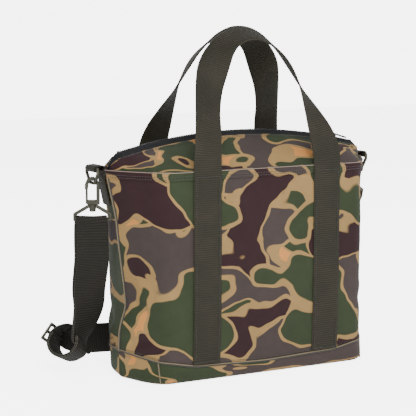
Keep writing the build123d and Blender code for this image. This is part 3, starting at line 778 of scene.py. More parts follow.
def canvas_material(colours):
    """Printed canvas."""
    material, g, shader = new_material("printed canvas")
    flat, woven, handled = cloth_inputs(g, 0.0011, 0.8)
    inks = {ink: rgba(getattr(colours, ink.lower())) for ink in INKS}
    printed = place_in_material(g, blotch_print_group(), {
        "Vector": flat, "Blotch Size": colours.blotch_size, **inks})["Color"]
    # painted shade: the weave's shade value darkens the print between the threads and lightens it on them
    thread = g.math("MULTIPLY_ADD", woven["Shade"], 0.24, 0.84)
    wire(g, shader, Base_Color=shaded(g, printed, g.math("MULTIPLY", handled, thread)),
         Roughness=g.math("MULTIPLY_ADD", woven["Shade"], 0.1, 0.7),
         Normal=g.bump(woven["Height"], 0.25, 0.0003), Sheen_Weight=0.03, Sheen_Roughness=0.5,
         Specular_IOR_Level=0.2)
    return material


def webbing_material(name, colours, pitch, painted_shade_tone, painted_rib_shade, painted_edge_highlight):
    """Ribbed webbing with a paler selvedge."""
    material, g, shader = new_material(name)
    flat, woven, handled = cloth_inputs(g, 0.0008, 0.5)
    parts = g.node("ShaderNodeSeparateXYZ", {"Vector": flat}).outputs
    # painted shade: this sine also makes the colour lighter on each rib and darker between the ribs
    ribs = g.math("SINE", g.math("MULTIPLY", parts[1], math.tau / pitch))
    # painted shade: a tone below one darkens the whole strip as shade; the strap takes half
    value = g.math("MULTIPLY", handled, g.math("MULTIPLY_ADD", ribs, painted_rib_shade * painted_shade_tone, 0.95 * painted_shade_tone))
    warm = g.noise(flat, 26.0, 2.0).outputs[0]
    base = g.mix(g.band(warm, 0.35, 0.7), rgba(colours.webbing), rgba(colours.webbing_warm))
    # painted highlight: a thin paler band along both edges stands for light caught by the webbing's edge; the strap
    # takes it fully, the handles a tenth of it
    outside = g.band(g.math("ABSOLUTE", parts[0]), (WEB / 2 - 0.45) * MM, (WEB / 2 - 0.15) * MM)
    base = g.mix(g.math("MULTIPLY", outside, painted_edge_highlight), base, (0.10, 0.094, 0.075, 1.0))
    height = g.math("MULTIPLY_ADD", ribs, 0.5, woven["Height"])
    wire(g, shader, Base_Color=shaded(g, base, value),
         Roughness=g.math("MULTIPLY_ADD", woven["Shade"], 0.12, 0.62),
         Normal=g.bump(height, 0.35, 0.0003), Sheen_Weight=0.02, Sheen_Roughness=0.4, Specular_IOR_Level=0.25)
    return material


def plain_cloth_material(name, colour, thread, rough, sheen, amount=0.3):
    """A one-colour woven cloth."""
    material, g, shader = new_material(name)
    flat, woven, handled = cloth_inputs(g, thread, amount)
    # painted shade: the weave's shade value darkens the cloth between the threads and lightens it on them
    value = g.math("MULTIPLY", handled, g.math("MULTIPLY_ADD", woven["Shade"], 0.25, 0.85))
    wire(g, shader, Base_Color=shaded(g, rgba(colour), value),
         Roughness=g.math("MULTIPLY_ADD", handled, 0.1, rough),
         Normal=g.bump(woven["Height"], 0.3, 0.0002), Sheen_Weight=sheen, Sheen_Roughness=0.4,
         Specular_IOR_Level=0.25)
    return material


def foam_material():
    """Closed-cell foam."""
    material, g, shader = new_material("closed cell foam")
    where, handled = solid_inputs(g, 0.1)
    cells = g.node("ShaderNodeTexVoronoi", {"Vector": where, "Scale": 900.0}).outputs["Distance"]
    wire(g, shader, Base_Color=shaded(g, (0.82, 0.82, 0.79, 1), handled),
         Roughness=g.math("MULTIPLY_ADD", cells, 0.1, 0.75), Normal=g.bump(cells, 0.3, 0.0003))
    return material


def painted_metal_material(name, colour, bare, wear, rough):
    """Painted metal, rubbed through on its edges."""
    material, g, shader = new_material(name)
    where, handled = solid_inputs(g, 0.4)
    edge = g.node("ShaderNodeNewGeometry").outputs["Pointiness"]
    scuff = g.noise(where, 700.0, 5.0, 0.65).outputs[0]
    broad = g.noise(where, 160.0, 3.0, 0.6).outputs[0]
    rubbed = g.band(g.math("MULTIPLY_ADD", scuff, 0.10, edge), 0.60 - wear, 0.66 - wear)
    rubbed = g.math("MULTIPLY", rubbed, g.band(broad, 0.3, 0.6))
    wire(g, shader, Base_Color=g.mix(rubbed, shaded(g, rgba(colour), handled), rgba(bare)),
         Metallic=g.math("MULTIPLY_ADD", rubbed, 0.5, 0.25),
         Roughness=g.math("MULTIPLY_ADD", broad, 0.25, rough), Normal=g.bump(scuff, 0.12, 0.0002))
    return material


def moulded_material():
    """Moulded black zip teeth."""
    material, g, shader = new_material("moulded teeth")
    where, handled = solid_inputs(g, 0.5)
    grain = g.noise(where, 900.0, 3.0).outputs[0]
    wire(g, shader, Base_Color=shaded(g, (0.014, 0.014, 0.016, 1), handled),
         Roughness=g.math("MULTIPLY_ADD", grain, 0.3, 0.3), Normal=g.bump(grain, 0.15, 0.0001))
    return material


def thread_material(name, colour):
    """Sewing thread."""
    material, g, shader = new_material(name)
    twist = g.noise(g.node("ShaderNodeTexCoord").outputs["Object"], 1500.0, 2.0).outputs[0]
    shade = g.math("MULTIPLY_ADD", twist, 0.5, 0.75)
    wire(g, shader, Base_Color=shaded(g, rgba(colour), shade), Roughness=0.6,
         Normal=g.bump(twist, 0.3, 0.0001), Sheen_Weight=0.2)
    return material


MATERIALS = {}


def material(name):
    """The named material, made the first time it is asked for."""
    if name in MATERIALS:
        return MATERIALS[name]
    colours = bpy.context.scene.cooler_bag_finish
    kinds = {
        "canvas": (canvas_material, colours),
        # after the pitch: painted shade tone, painted rib shading and painted edge highlight; the strap webbing is
        # painted at half brightness as shade
        "webbing": (webbing_material, "ribbed webbing", colours, colours.rib_pitch, 1.0, 0.34, 0.1),
        "strap": (webbing_material, "strap webbing", colours, colours.strap_pitch, 0.5, 0.4, 1.0),
        "tape": (plain_cloth_material, "zip tape", colours.tape, 0.0009, 0.6, 0.02),
        "lining": (plain_cloth_material, "coated lining", (0.50, 0.52, 0.54), 0.002, 0.25, 0.0, 0.15),
        # painted highlight colour for the rolled seam ridges
        "seam edge": (plain_cloth_material, "seam edge", (0.17, 0.135, 0.085), 0.0009, 0.7, 0.02),
        # painted highlight colour for the hem's fold
        "hem edge": (plain_cloth_material, "hem edge", (0.23, 0.18, 0.145), 0.0009, 0.7, 0.02),
        "foam": (foam_material,),
        "olive": (painted_metal_material, "olive painted metal", colours.hardware, (0.20, 0.19, 0.15), 0.0,
                  0.34),
        "black": (painted_metal_material, "black painted metal", (0.02, 0.02, 0.022), (0.10, 0.10, 0.10),
                  -0.06, 0.3),
        "teeth": (moulded_material,),
        # dark thread for the stitches, also used for the painted shadow cords beside the seams
        "dark thread": (thread_material, "dark thread", (0.014, 0.013, 0.010)),
    }
    make, *values = kinds[name]
    MATERIALS[name] = make(*values)
    return MATERIALS[name]


# ------------------------------------------------------------------ properties
def colour_property(name, description, value):
    return FloatVectorProperty(name=name, description=description, default=value, min=0, max=1,
                               subtype="COLOR")


def length_property(name, description, value, low, high):
    return FloatProperty(name=name, description=description, default=value, min=low, max=high, unit="LENGTH")


class FinishProperties(bpy.types.PropertyGroup):
    """Colours and pattern sizes of the bag."""

    tan: colour_property("Tan", "Ground colour of the printed canvas", (0.275, 0.172, 0.066))
    green: colour_property("Green", "Green blotches", (0.0265, 0.0365, 0.0165))
    taupe: colour_property("Taupe", "Grey-brown blotches", (0.046, 0.034, 0.031))
    maroon: colour_property("Maroon", "Dark red-brown blotches", (0.0235, 0.0088, 0.0105))
    peach: colour_property("Peach", "Pale orange patches in the ground", (0.50, 0.21, 0.055))
    webbing: colour_property("Webbing", "Colour of handles and strap", (0.019, 0.018, 0.0105))
    webbing_warm: colour_property("Worn webbing", "Browner places on the webbing", (0.026, 0.0215, 0.0135))
    tape: colour_property("Zip tape", "Colour of the zip tape", (0.0045, 0.005, 0.006))
    hardware: colour_property("Hardware", "Paint on the rings and hooks", (0.040, 0.038, 0.024))
    blotch_size: length_property("Blotch size", "Size of the printed blotches", 0.061, 0.01, 0.3)
    rib_pitch: length_property("Rib pitch", "Distance between the webbing's cross ribs", 0.0027, 0.001, 0.01)
    strap_pitch: length_property("Strap rib pitch", "Distance between the strap's cross ribs", 0.0034, 0.001,
                                 0.01)


class SizeProperties(bpy.types.PropertyGroup):
    """Sizes of the sewn details."""

    stitch_pitch: length_property("Stitch pitch", "Distance from stitch to stitch", 0.0036, 0.002, 0.01)
    hem_depth: length_property("Hem depth", "Depth of the folded hem", 0.0105, 0.004, 0.03)
    tooth_pitch: length_property("Tooth pitch", "Distance from zip tooth to zip tooth", 0.0025, 0.001, 0.006)


# ----------------------------------------------------------------- the pieces
def cloth_place(u, z, back, shift=0.0):
    """Flat place of a wall point on the printed cloth, in metres."""
    return (u * half_length(130.0, back) + shift) * MM, z * MM


def on_bag(obj, slot=None):
    """Fix a piece to the bag's body."""
    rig.ride(obj, "bag")
    if slot:
        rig.slot(obj, slot)
    return obj


def seam_z(u, back):
    """Height of the base seam at a place along the wall."""
    return seam_height(wall(u, CORNER_SEAM, back, soft=0.0).x)


def make_panel(back):
    """One wall of the bag, from the base seam to the hem."""
    def height(u, v):
        return mix(seam_z(u, back), HEM - 0.4, (v + 1) / 2)

    bm = bmesh.new()
    moved_grid(bm, 150, 84, lambda u, v: wall(u, height(u, v), back),
               lambda u, v: cloth_place(u, height(u, v), back, BACK_CLOTH if back else 0.0))
    face_outwards(bm)
    name = "back_shell" if back else "front_shell"
    obj = thicken(finish_object(name, bm, material("canvas")), SKIN)
    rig.replaces(obj, "back_panel" if back else "front_panel")
    on_bag(obj, "camouflage_canvas")


def make_base():
    """The base: a low band that turns under into a flat bottom."""
    bm = bmesh.new()
    band, corner, bottom = 10, 6, 26
    rows = 2 * (band + corner) + bottom
    round_off = 7.0

    def put(u, v):
        row = int(round((v + 1) / 2 * rows))
        back = row > rows / 2
        step = min(row, rows - row)
        if step <= band:
            return wall(u, mix(seam_z(u, back) + 0.6, round_off, step / band), back, out=-0.15)
        if step <= band + corner:
            turn = math.pi / 2 * (step - band) / corner
            p = wall(u, round_off * (1 - math.sin(turn)), back)
            return squeezed(p, round_off * (1 - math.cos(turn)))
        t = (row - band - corner) / bottom
        p = squeezed(wall(u, 0.0, False), round_off).lerp(squeezed(wall(u, 0.0, True), round_off), t)
        p.z = 0.5 * math.sin(math.pi * t) * (1 - u * u)
        return p

    moved_grid(bm, 150, rows, put, lambda u, v: ((u * 185 + 830) * MM, (v * 105 - 300) * MM))
    bmesh.ops.remove_doubles(bm, verts=bm.verts, dist=0.01)
    face_outwards(bm)
    obj = thicken(finish_object("base_shell", bm, material("canvas")), SKIN)
    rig.replaces(obj, "base_panel")
    on_bag(obj, "camouflage_canvas")


def squeezed(p, inset):
    """A point drawn in towards the middle of the bottom by an inset."""
    return Vector((p.x * (1 - inset / HALF_END), p.y * (1 - inset / HALF_BASE_DEPTH), p.z))


def outward_point(u, z, back, out):
    """A point outside the wall and the direction outwards from it."""
    p = wall(u, z, back, out)
    return p, (wall(u, z, back, out + 1.0) - p).normalized()


def round_the_hem(z, out, step=4.0):
    """A route once round the bag at a height, from the left side seam along
    the front, with outward directions."""
    points = []
    for back in (False, True):
        count = int(2 * half_length(z, back) / step)
        for i in range(count + back):
            u = -1 + 2 * i / count
            points.append(outward_point(-u if back else u, z, back, out))
    return points


def make_hem():
    """The folded hem: it covers the top of the wall and the foam."""
    sizes = bpy.context.scene.cooler_bag_sizes
    depth = sizes.hem_depth / MM
    profile = [  # (distance outside the wall, height over the hem)
        (0.1, -depth - 0.2), (0.9, -depth), (1.05, -depth + 1), (1.05, -2.0), (0.75, -0.3), (0.0, 0.35),
        (-1.2, 0.5), (-2.4, 0.2), (-3.2, -1.0), (-4.5, -5.2), (-9.6, -5.6), (-10.6, -6.4), (-10.9, -12.0)]
    bm = bmesh.new()
    for back in (False, True):
        def station(v):
            return profile[int(round((v + 1) / 2 * (len(profile) - 1)))]

        def put(u, v, back=back):
            out, dz = station(v)
            return wall(u, HEM + dz, back, out, 1.0 if out > -2 else 0.0)

        def flat(u, v, back=back):
            out, dz = station(v)
            x, y = cloth_place(u, HEM + dz, back, BACK_CLOTH if back else 0.0)
            return x, y + max(-out, 0.0) * MM

        moved_grid(bm, 150, len(profile) - 1, put, flat)
    bmesh.ops.remove_doubles(bm, verts=bm.verts, dist=0.02)
    face_outwards(bm, (0, 0, HEM - 6))
    on_bag(thicken(finish_object("folded_hem", bm, material("canvas")), 0.5), "camouflage_canvas")
    # painted highlight: a pale ridge along the top of the fold stands for the light the folded edge catches
    edge = cord_ridge("hem_edge", round_the_hem(HEM - 0.3, 1.15), 0.55, material("hem edge"))
    on_bag(edge, "camouflage_canvas")
    rows = [round_the_hem(HEM - drop, 1.12) for drop in (5.2, 8.2)]
    on_bag(stitches("hem_stitches", rows, sizes.stitch_pitch / MM))


def make_seams():
    """Rolled seams up the sides, round the base and at its four corners."""
    # the seam ridges take a pale colour as painted highlight; the dark cords beside them are painted shadow in the
    # thread material
    edge, line = material("seam edge"), material("dark thread")
    steps = [mix(END_SEAM - 1, HEM - 9.5, i / 29) for i in range(30)]
    for sign, name in ((-1, "left"), (1, "right")):
        track = [(wall(sign, z, False, 0.5), FORWARD) for z in steps]
        on_bag(cord_ridge(f"side_seam_{name}", track, 0.9, edge), "camouflage_canvas")
        # painted shadow: a dark cord beside each side seam stands for the shade in the seam's groove
        beside = [(wall(sign * 0.991, p.z, False, 0.35), a) for p, a in track]
        on_bag(cord_ridge(f"side_seam_painted_shadow_{name}", beside, 0.75, line))
    loop, rows = [], []
    for back in (False, True):
        for i in range(110 + (1 if back else 0)):
            u = (-1 + 2 * i / 110) * (-1 if back else 1)
            loop.append((wall(u, seam_z(u, back), back, 0.35), UPWARD))
        rows.append([outward_point(u, seam_z(u, back) + 3.0, back, 0.1)
                     for u in (-0.985 + 1.97 * i / 109 for i in range(110))])
    on_bag(cord_ridge("base_seam", loop, 0.8, edge), "camouflage_canvas")
    # painted shadow: a dark cord just under the base seam stands for the shade below it
    on_bag(cord_ridge("base_seam_painted_shadow", [(p - UPWARD * 1.35, a) for p, a in loop], 0.8, line))
    on_bag(stitches("base_seam_stitches", rows))
    for sign, side in ((-1, "left"), (1, "right")):
        for back, face in ((False, "front"), (True, "back")):
            u = sign * (HALF_BASE + 4) / half_length(CORNER_SEAM, back)
            track = [(wall(u * mix(0.97, 1.0, i / 7), mix(3.0, CORNER_SEAM, i / 7), back, 0.2), FORWARD)
                     for i in range(8)]
            on_bag(cord_ridge(f"corner_seam_{face}_{side}", track, 0.8, edge), "camouflage_canvas")


def finish_foam(bm, name, node, thickness, centre=(0.0, 0.0, 130.0)):
    """Make a foam sheet of an open sheet of faces."""
    bmesh.ops.remove_doubles(bm, verts=bm.verts, dist=0.02)
    face_outwards(bm, centre)
    obj = thicken(finish_object(name, bm, material("foam")), thickness)
    apply_modifiers(obj)
    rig.replaces(obj, node)
    on_bag(obj, "insulation_foam")
    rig.padded(obj, fill=0.9)


def make_insulation():
    """Foam sheets between the skin and the lining."""
    split = FOAM_SPLIT / half_length(130.0, False)
    for name, node, sides, u0, u1 in (
        ("foam_sheet_front", "foam_front", (False,), -split, split),
        ("foam_sheet_back", "foam_back", (True,), -split, split),
        ("foam_sheet_left", "foam_side_left", (False, True), -1.0, -split - 0.003),
        ("foam_sheet_right", "foam_side_right", (False, True), split + 0.003, 1.0),
    ):
        bm = bmesh.new()
        for back in sides:
            def put(u, v, back=back, u0=u0, u1=u1):
                z = mix(SKIN + FOAM + 0.3, FOAM_TOP, (v + 1) / 2)
                return wall(mix(u0, u1, (u + 1) / 2), z, back, -SKIN - 0.2)

            moved_grid(bm, 40, 44, put, lambda u, v: (u * 0.1, v * 0.1))
        finish_foam(bm, name, node, FOAM - 0.4)

    def bottom(u, v):
        front, behind = (wall(u, 4.0, back, -SKIN - 3.0, 0.0) for back in (False, True))
        p = front.lerp(behind, (v + 1) / 2)
        p.z = SKIN + FOAM
        return p

    bm = bmesh.new()
    moved_grid(bm, 60, 30, bottom, lambda u, v: (u * 0.16, v * 0.06))
    finish_foam(bm, "foam_sheet_base", "foam_base", FOAM - 0.3, (0, 0, -200))


def make_lining():
    """The lining: a smooth tub inside the foam."""
    side_rows, floor_rows = 40, 20
    rows = 2 * side_rows + floor_rows
    inset = -SKIN - FOAM - 0.1
    floor_z = SKIN + FOAM + LINER

    def put(u, v):
        row = int(round((v + 1) / 2 * rows))
        step = min(row, rows - row)
        if step <= side_rows:
            return wall(u, mix(FOAM_TOP, floor_z, step / side_rows), row > rows / 2, inset)
        p = wall(u, floor_z, False, inset).lerp(wall(u, floor_z, True, inset), (row - side_rows) / floor_rows)
        p.z = floor_z
        return p

    bm = bmesh.new()
    moved_grid(bm, 110, rows, put, lambda u, v: (u * 0.18, v * 0.3))
    bmesh.ops.remove_doubles(bm, verts=bm.verts, dist=0.02)
    face_outwards(bm, inwards=True)
    obj = thicken(finish_object("lining_tub", bm, material("lining")), LINER - 0.2)
    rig.replaces(obj, "liner")
    on_bag(obj, "lining")


def tape_point(x, across, back, lift=0.0):
    """A point on one zip tape: across is 0 at the teeth and 1 at its sewn
    edge."""
    narrow = ease((CLOSURE_HALF + 1 - abs(x)) / 14.0)
    y = CHAIN_HALF - 0.4 + across * TAPE_WIDTH * math.cos(TAPE_TILT)
    z = zip_height(x) - 0.2 - across * TAPE_WIDTH * math.sin(TAPE_TILT) * narrow
    side = 1 if back else -1
    return Vector((x, side * y * mix(0.1, 1.0, narrow), z + lift))


def collar_point(u, v, back, lift=0.0):
    """A point on the cloth between hem and zip: v is 0 at the hem and 1 where
    it is sewn over the tape."""
    foot = wall(u, HEM - 1.0, back, -2.2, 0.0)
    head = tape_point(foot.x * 0.988, 0.9, back, 0.5)
    p = foot.lerp(head, v)
    side = 1 if back else -1
    crown = math.sin(math.pi * v) * ease((1 - abs(u)) / 0.3)
    wave = noise.noise(Vector((u * 5.5, v * 0.8, 3.0 if back else 9.0)))
    tuck = 0.0
    for at, lean, width, depth in ((-0.19, 0.05, 0.030, 2.2), (0.47, -0.06, 0.035, 1.3),
                                   (-0.66, 0.05, 0.04, 1.5)):
        off = (u - at - lean * (v - 0.5)) / width
        tuck -= depth * math.exp(-off * off) * math.sin(math.pi * v) ** 0.6
    rise = 2.0 * crown + (1.3 * wave * crown) + tuck * (0.4 if back else 1.0) + lift
    return p + Vector((0.0, side * 0.5, 0.86)) * rise


def make_collars():
    """The two cloths that rise from the hem to the zip."""
    for back, name in ((False, "front"), (True, "back")):
        bm = bmesh.new()
        length = half_length(HEM, back)
        shift = 3770 if back else 1450
        moved_grid(bm, 150, 26, lambda u, v: collar_point(u * 0.997, (v + 1) / 2, back),
                   lambda u, v: ((u * length + shift) * MM, (v * 36) * MM))
        face_outwards(bm, (0, 0, 200))
        obj = thicken(finish_object(f"collar_cloth_{name}", bm, material("canvas")), 1.0)
        apply_modifiers(obj)
        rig.replaces(obj, f"collar_{name}", "collar_end_left", "collar_end_right")
        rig.slot(obj, "camouflage_canvas")
        turn_with_flap(obj, name)
        outward = Vector((0, 0.5 if back else -0.5, 0.86))
        rows = [[(collar_point(mix(-0.97, 0.97, i / 119), v, back, 0.15), outward) for i in range(120)]
                for v in (0.955, 0.915)]
        turn_with_flap(stitches(f"collar_stitches_{name}", rows), name)


def turn_with_flap(obj, name):
    """Let a piece of the top open with its flap, widest at mid-length, with
    its foot and both ends held by the bag."""
    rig.blend(obj, "bag", f"collar_{name}", (0, 0, HEM - 1), (0, 0, HEM + 8))

    def share(p):
        if p.z < HEM - 1.5:
            return 0.0
        return opening_share(p.x) * ease((HINGE_Y + 2.0 - abs(p.y)) / 5.0)

    weigh(obj, share)


def make_zip():
    """Tapes and interlocking teeth."""
    pitch = bpy.context.scene.cooler_bag_sizes.tooth_pitch / MM
    for back, name in ((False, "front"), (True, "back")):
        bm = bmesh.new()
        moved_grid(bm, 160, 5, lambda u, v: tape_point(u * CLOSURE_HALF, (v + 1) / 2, back),
                   lambda u, v: (u * CLOSURE_HALF * MM, v * TAPE_WIDTH / 2 * MM))
        face_outwards(bm, (0, 0, 200))
        obj = thicken(finish_object(f"tape_{name}", bm, material("tape")), 0.7)
        apply_modifiers(obj)
        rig.replaces(obj, f"zip_tape_{name}")
        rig.slot(obj, "zip_tape")
        turn_with_flap(obj, name)
        tooth = bmesh.new()
        bmesh.ops.create_cube(tooth, size=1.0)
        bmesh.ops.scale(tooth, vec=(1.35, 2.5, 2.5), verts=tooth.verts)
        bmesh.ops.bevel(tooth, geom=tooth.edges[:], offset=0.32, offset_type="OFFSET", segments=1,
                        profile=0.5, affect="EDGES", material=-1)
        places = []
        for i in range(int(2 * ZIP_HALF / pitch)):
            x = -ZIP_HALF + pitch * (i + (0.5 if back else 0.0))
            place = Matrix.Translation((x, 1.15 if back else -1.15, zip_height(x) - 0.5))
            places.append(place @ Matrix.Rotation(math.asin(x / ZIP_RADIUS), 4, "Y"))
        bm = bmesh.new()
        repeated(bm, tooth, places)
        obj = finish_object(f"teeth_{name}", bm, material("teeth"), smooth=False)
        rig.replaces(obj, f"zip_chain_{name}", "zip_chain_end_left", "zip_chain_end_right")
        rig.slot(obj, "zip_teeth")
        turn_with_flap(obj, name)
    for side in ("left", "right"):
        on_bag(eased_copy(f"zip_stop_{side}", f"stop_{side}", material("black")), "black_metal")


def make_slider():
    """The slider and its pull."""
    for node, name in (("zip_slider", "slider"), ("zip_pull", "pull_tab")):
        obj = eased_copy(node, name, material("black"), 0.4, swell=0.3)
        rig.ride(obj, node)
        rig.slot(obj, "black_metal")


def turn_round(p):
    """A point or direction turned half round about the vertical."""
    return Vector((-p.x, -p.y, p.z))


def leg_lift(z):
    """How far a handle leg rises off the wall to pass over the hem."""
    return 1.0 * ease((z - 238) / 8)


def handle_route(turned):
    """The whole webbing of one handle: up the wall, over the grip and down
    again, as (place, width direction)."""
    foot, top = -HANDLE_FOOT_Y, -20.0
    rise = HANDLE_TOP - HEM - WEB / 2
    half = HALF_SPACING
    path = [  # X, Y, height over the hem, turn of the webbing out of flat
        (-half, foot, 1.6, 0), (-half, foot, rise * 0.07, 0), (-half + 1, foot + 0.5, rise * 0.15, 0),
        (-half + 5, foot + 7, rise * 0.30, 2), (-half + 11, foot + 19, rise * 0.46, 6),
        (-half + 21, foot + 33, rise * 0.62, 22), (-half + 33, top - 9, rise * 0.76, 50),
        (-half + 46, top - 4, rise * 0.88, 78), (-half + 63, top, rise * 0.96, 90), (0, top, rise, 90),
        (half - 63, top, rise * 0.965, 90), (half - 44, top - 4, rise * 0.87, 90),
        (half - 31, top - 13, rise * 0.74, 84), (half - 21, foot + 28, rise * 0.58, 70),
        (half - 13, foot + 17, rise * 0.42, 46), (half - 6, foot + 7, rise * 0.26, 20),
        (half - 2, foot + 1, rise * 0.14, 4), (half, foot, rise * 0.06, 0), (half, foot, 1.6, 0),
    ]
    loop = []
    for i, (x, y, z, turn) in enumerate(path):
        before, after = path[max(i - 1, 0)], path[min(i + 1, len(path) - 1)]
        along = Vector([b - a for a, b in zip(before[:3], after[:3])]).normalized()
        edge = Vector((0, math.cos(GRIP_TILT), math.sin(GRIP_TILT)))
        edge = (edge - along * edge.dot(along)).normalized()
        t = math.radians(turn)
        loop.append((Vector((x, y, HEM + z)), edge.cross(along) * math.cos(t) - edge * math.sin(t)))

    def leg(x, across):
        points = []
        for z in (MIDDLE_SEAM + 4.5, 40, 70, 100, 130, 160, 190, 215, 235, 246, 252):
            p = wall((-x if turned else x) / half_length(z, turned), z, turned, 1.15 + leg_lift(z))
            points.append((turn_round(p) if turned else p, Vector((math.copysign(1, across.x), 0, 0))))
        return points

    route = leg(-half, loop[0][1]) + loop[1:-1] + leg(half, loop[-1][1])[::-1]
    return [(turn_round(p), turn_round(a)) for p, a in route] if turned else route


def make_handles():
    """Two webbing handles, each one piece with its sewn legs."""
    pitch = bpy.context.scene.cooler_bag_finish.rib_pitch / MM
    low, high, reach = MIDDLE_SEAM + 7, HEM - 6, WEB / 2 - 3.2
    for turned, name in ((False, "front"), (True, "back")):
        obj = strip(f"handle_webbing_{name}", handle_route(turned), WEB, 2.0, material("webbing"), pitch)
        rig.replaces(obj, f"handle_{name}", f"handle_leg_{name}_left", f"handle_leg_{name}_right")
        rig.slot(obj, "webbing")
        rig.blend(obj, "bag", f"handle_{name}", (0, 0, HEM - 3), (0, 0, HEM + 6))
        outward = Vector((0, 1 if turned else -1, 0))
        rows = []
        for x in (-HALF_SPACING, HALF_SPACING):
            lines = [[(x + edge, mix(low, high, i / 39)) for i in range(40)] for edge in (-reach, reach)]
            lines += [[(x + mix(-reach, reach, i / 7), z) for i in range(8)] for z in (low, HEM - 6.5)]
            rows += [[(wall(at / half_length(z, turned), z, turned, 2.3 + leg_lift(z)), outward)
                      for at, z in line] for line in lines]
        on_bag(stitches(f"handle_stitches_{name}", rows, 3.4))


def make_tabs():
    """The side tabs: webbing sewn to the wall and folded round each ring."""
    pitch = bpy.context.scene.cooler_bag_finish.rib_pitch / MM * 1.4
    axis_z = span("tab_left")[1].z - 5.0
    radius = 3.3

    def side(z, out, shift=0.0):
        return wall(1.0 - (LOOP_Y + shift) / half_length(z, True), z, True, out, 0.4).x

    def slant(p):
        """How far the wall under the tab runs in over 20 mm of depth."""
        sewn = p.z < HEM - 10 and p.x < LOOP_X - 4
        return side(p.z, 0.0, 10.0) - side(p.z, 0.0, -10.0) if sewn else 0.0

    points = [Vector((side(z, 2.9), LOOP_Y, z))
              for z in (TAB_FOOT + 1, TAB_FOOT + 12, TAB_FOOT + 24, HEM - 12, HEM - 4)]
    points.append(Vector((side(HEM, 3.2), LOOP_Y, axis_z + 3.0)))
    for turn in (100, 70, 35, 0, -35, -70, -105, -140):
        a = math.radians(turn)
        points.append(Vector((LOOP_X + radius * math.cos(a), LOOP_Y, axis_z + radius * math.sin(a))))
    points.append(Vector((side(HEM - 4, 1.9), LOOP_Y, axis_z - 3.2)))
    for sign, name in ((-1, "left"), (1, "right")):
        route = [(Vector((sign * p.x, p.y, p.z)), Vector((sign * slant(p), 20.0, 0.0)).normalized())
                 for p in points]
        obj = strip(f"tab_webbing_{name}", route, TAB_Y_HIGH - TAB_Y_LOW, 1.6, material("webbing"), pitch)
        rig.replaces(obj, f"tab_{name}")
        on_bag(obj, "webbing")


def hook_matrix(side):
    """Place of a hook: local X across its eye, Z up its stem, origin under
    the hook's base."""
    lean = RIGHT_LEAN if side == "right" else 0.0
    place = Matrix.Translation((LOOP_X, LOOP_Y, RING_FLOOR)) @ Matrix.Rotation(lean, 4, "X")
    place = place @ Matrix.Translation((0, 0, HOOK_BASE - RING_FLOOR)) @ Matrix.Rotation(EYE_TURN, 4, "Z")
    return Matrix.Scale(-1, 4, (1, 0, 0)) @ place if side == "left" else place


def make_hardware():
    """Rings, hooks, gates, pins, swivel eyes and the strap's slide."""
    pieces = [  # design piece, name, body, eased corner, its segments, swell
        ("d_ring_{}", "ring_{}", "hook_{}", 0.4, 2, 0.0), ("hook_body_{}", "hook_{}", "hook_{}", 0.9, 3, 0.3),
        ("hook_gate_{}", "gate_{}", "gate_{}", 0.4, 2, 0.0),
        ("gate_pin_{}", "pin_{}", "hook_{}", 0.2, 1, 0.0),
        ("swivel_eye_{}", "eye_{}", "swivel_{}", 0.9, 3, 0.1)]
    pieces = [[*(label.format(side) for label in piece[:3]), *piece[3:]]
              for side in ("left", "right") for piece in pieces]
    pieces.append(("tri_glide", "slide_buckle", "tri_glide", 0.7, 3, 0.0))
    for node, name, body, bevel, segments, swell in pieces:
        obj = eased_copy(node, name, material("olive"), bevel, segments, swell)
        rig.ride(obj, body)
        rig.slot(obj, "olive_hardware")


EYE_BAR = -18.5
STRAP_END = 30.0
STRAP_CUT = 6
STRAP_LAYER = 1.85
RETURN_SLIP = 4.0
CURL_CENTRE = Vector((-208.5, 63.5, 33.5))
CURL_AXIS = Vector((0.65, 0.61, -0.45)).normalized()
CURL_RADIUS = 19.0


def curl_point(angle, radius=CURL_RADIUS):
    """A point on the strap's curl: 0 is its side towards the bag, 90 its top."""
    side = Vector((0.87, -0.49, 0.0))
    side = (side - CURL_AXIS * side.dot(CURL_AXIS)).normalized()
    up = side.cross(CURL_AXIS).normalized()
    up = -up if up.z < 0 else up
    a = math.radians(angle)
    return CURL_CENTRE + side * (radius * math.cos(a)) + up * (radius * math.sin(a))


def curl_station(angle, axis):
    """Place and width direction of the strap on its curl, which narrows
    towards its far side along the bottom."""
    squeeze = math.radians(6) * ease((-10 - angle) / 60) * ease((angle + 205) / 60)
    inwards = (CURL_CENTRE - curl_point(angle)).normalized()
    across = axis * math.cos(squeeze) + inwards * math.sin(squeeze)
    return curl_point(angle) - axis * (WEB / 2) + across * (WEB / 2), across


def strap_top(side):
    """Where the strap leaves a hook: its low end, its width direction and
    its downward direction."""
    place = hook_matrix(side)
    low = place @ Vector((0, 0, EYE_BAR - STRAP_END))
    turned = place.to_3x3()
    return low, (turned @ Vector((1, 0, 0))).normalized(), -(turned @ Vector((0, 0, 1))).normalized()


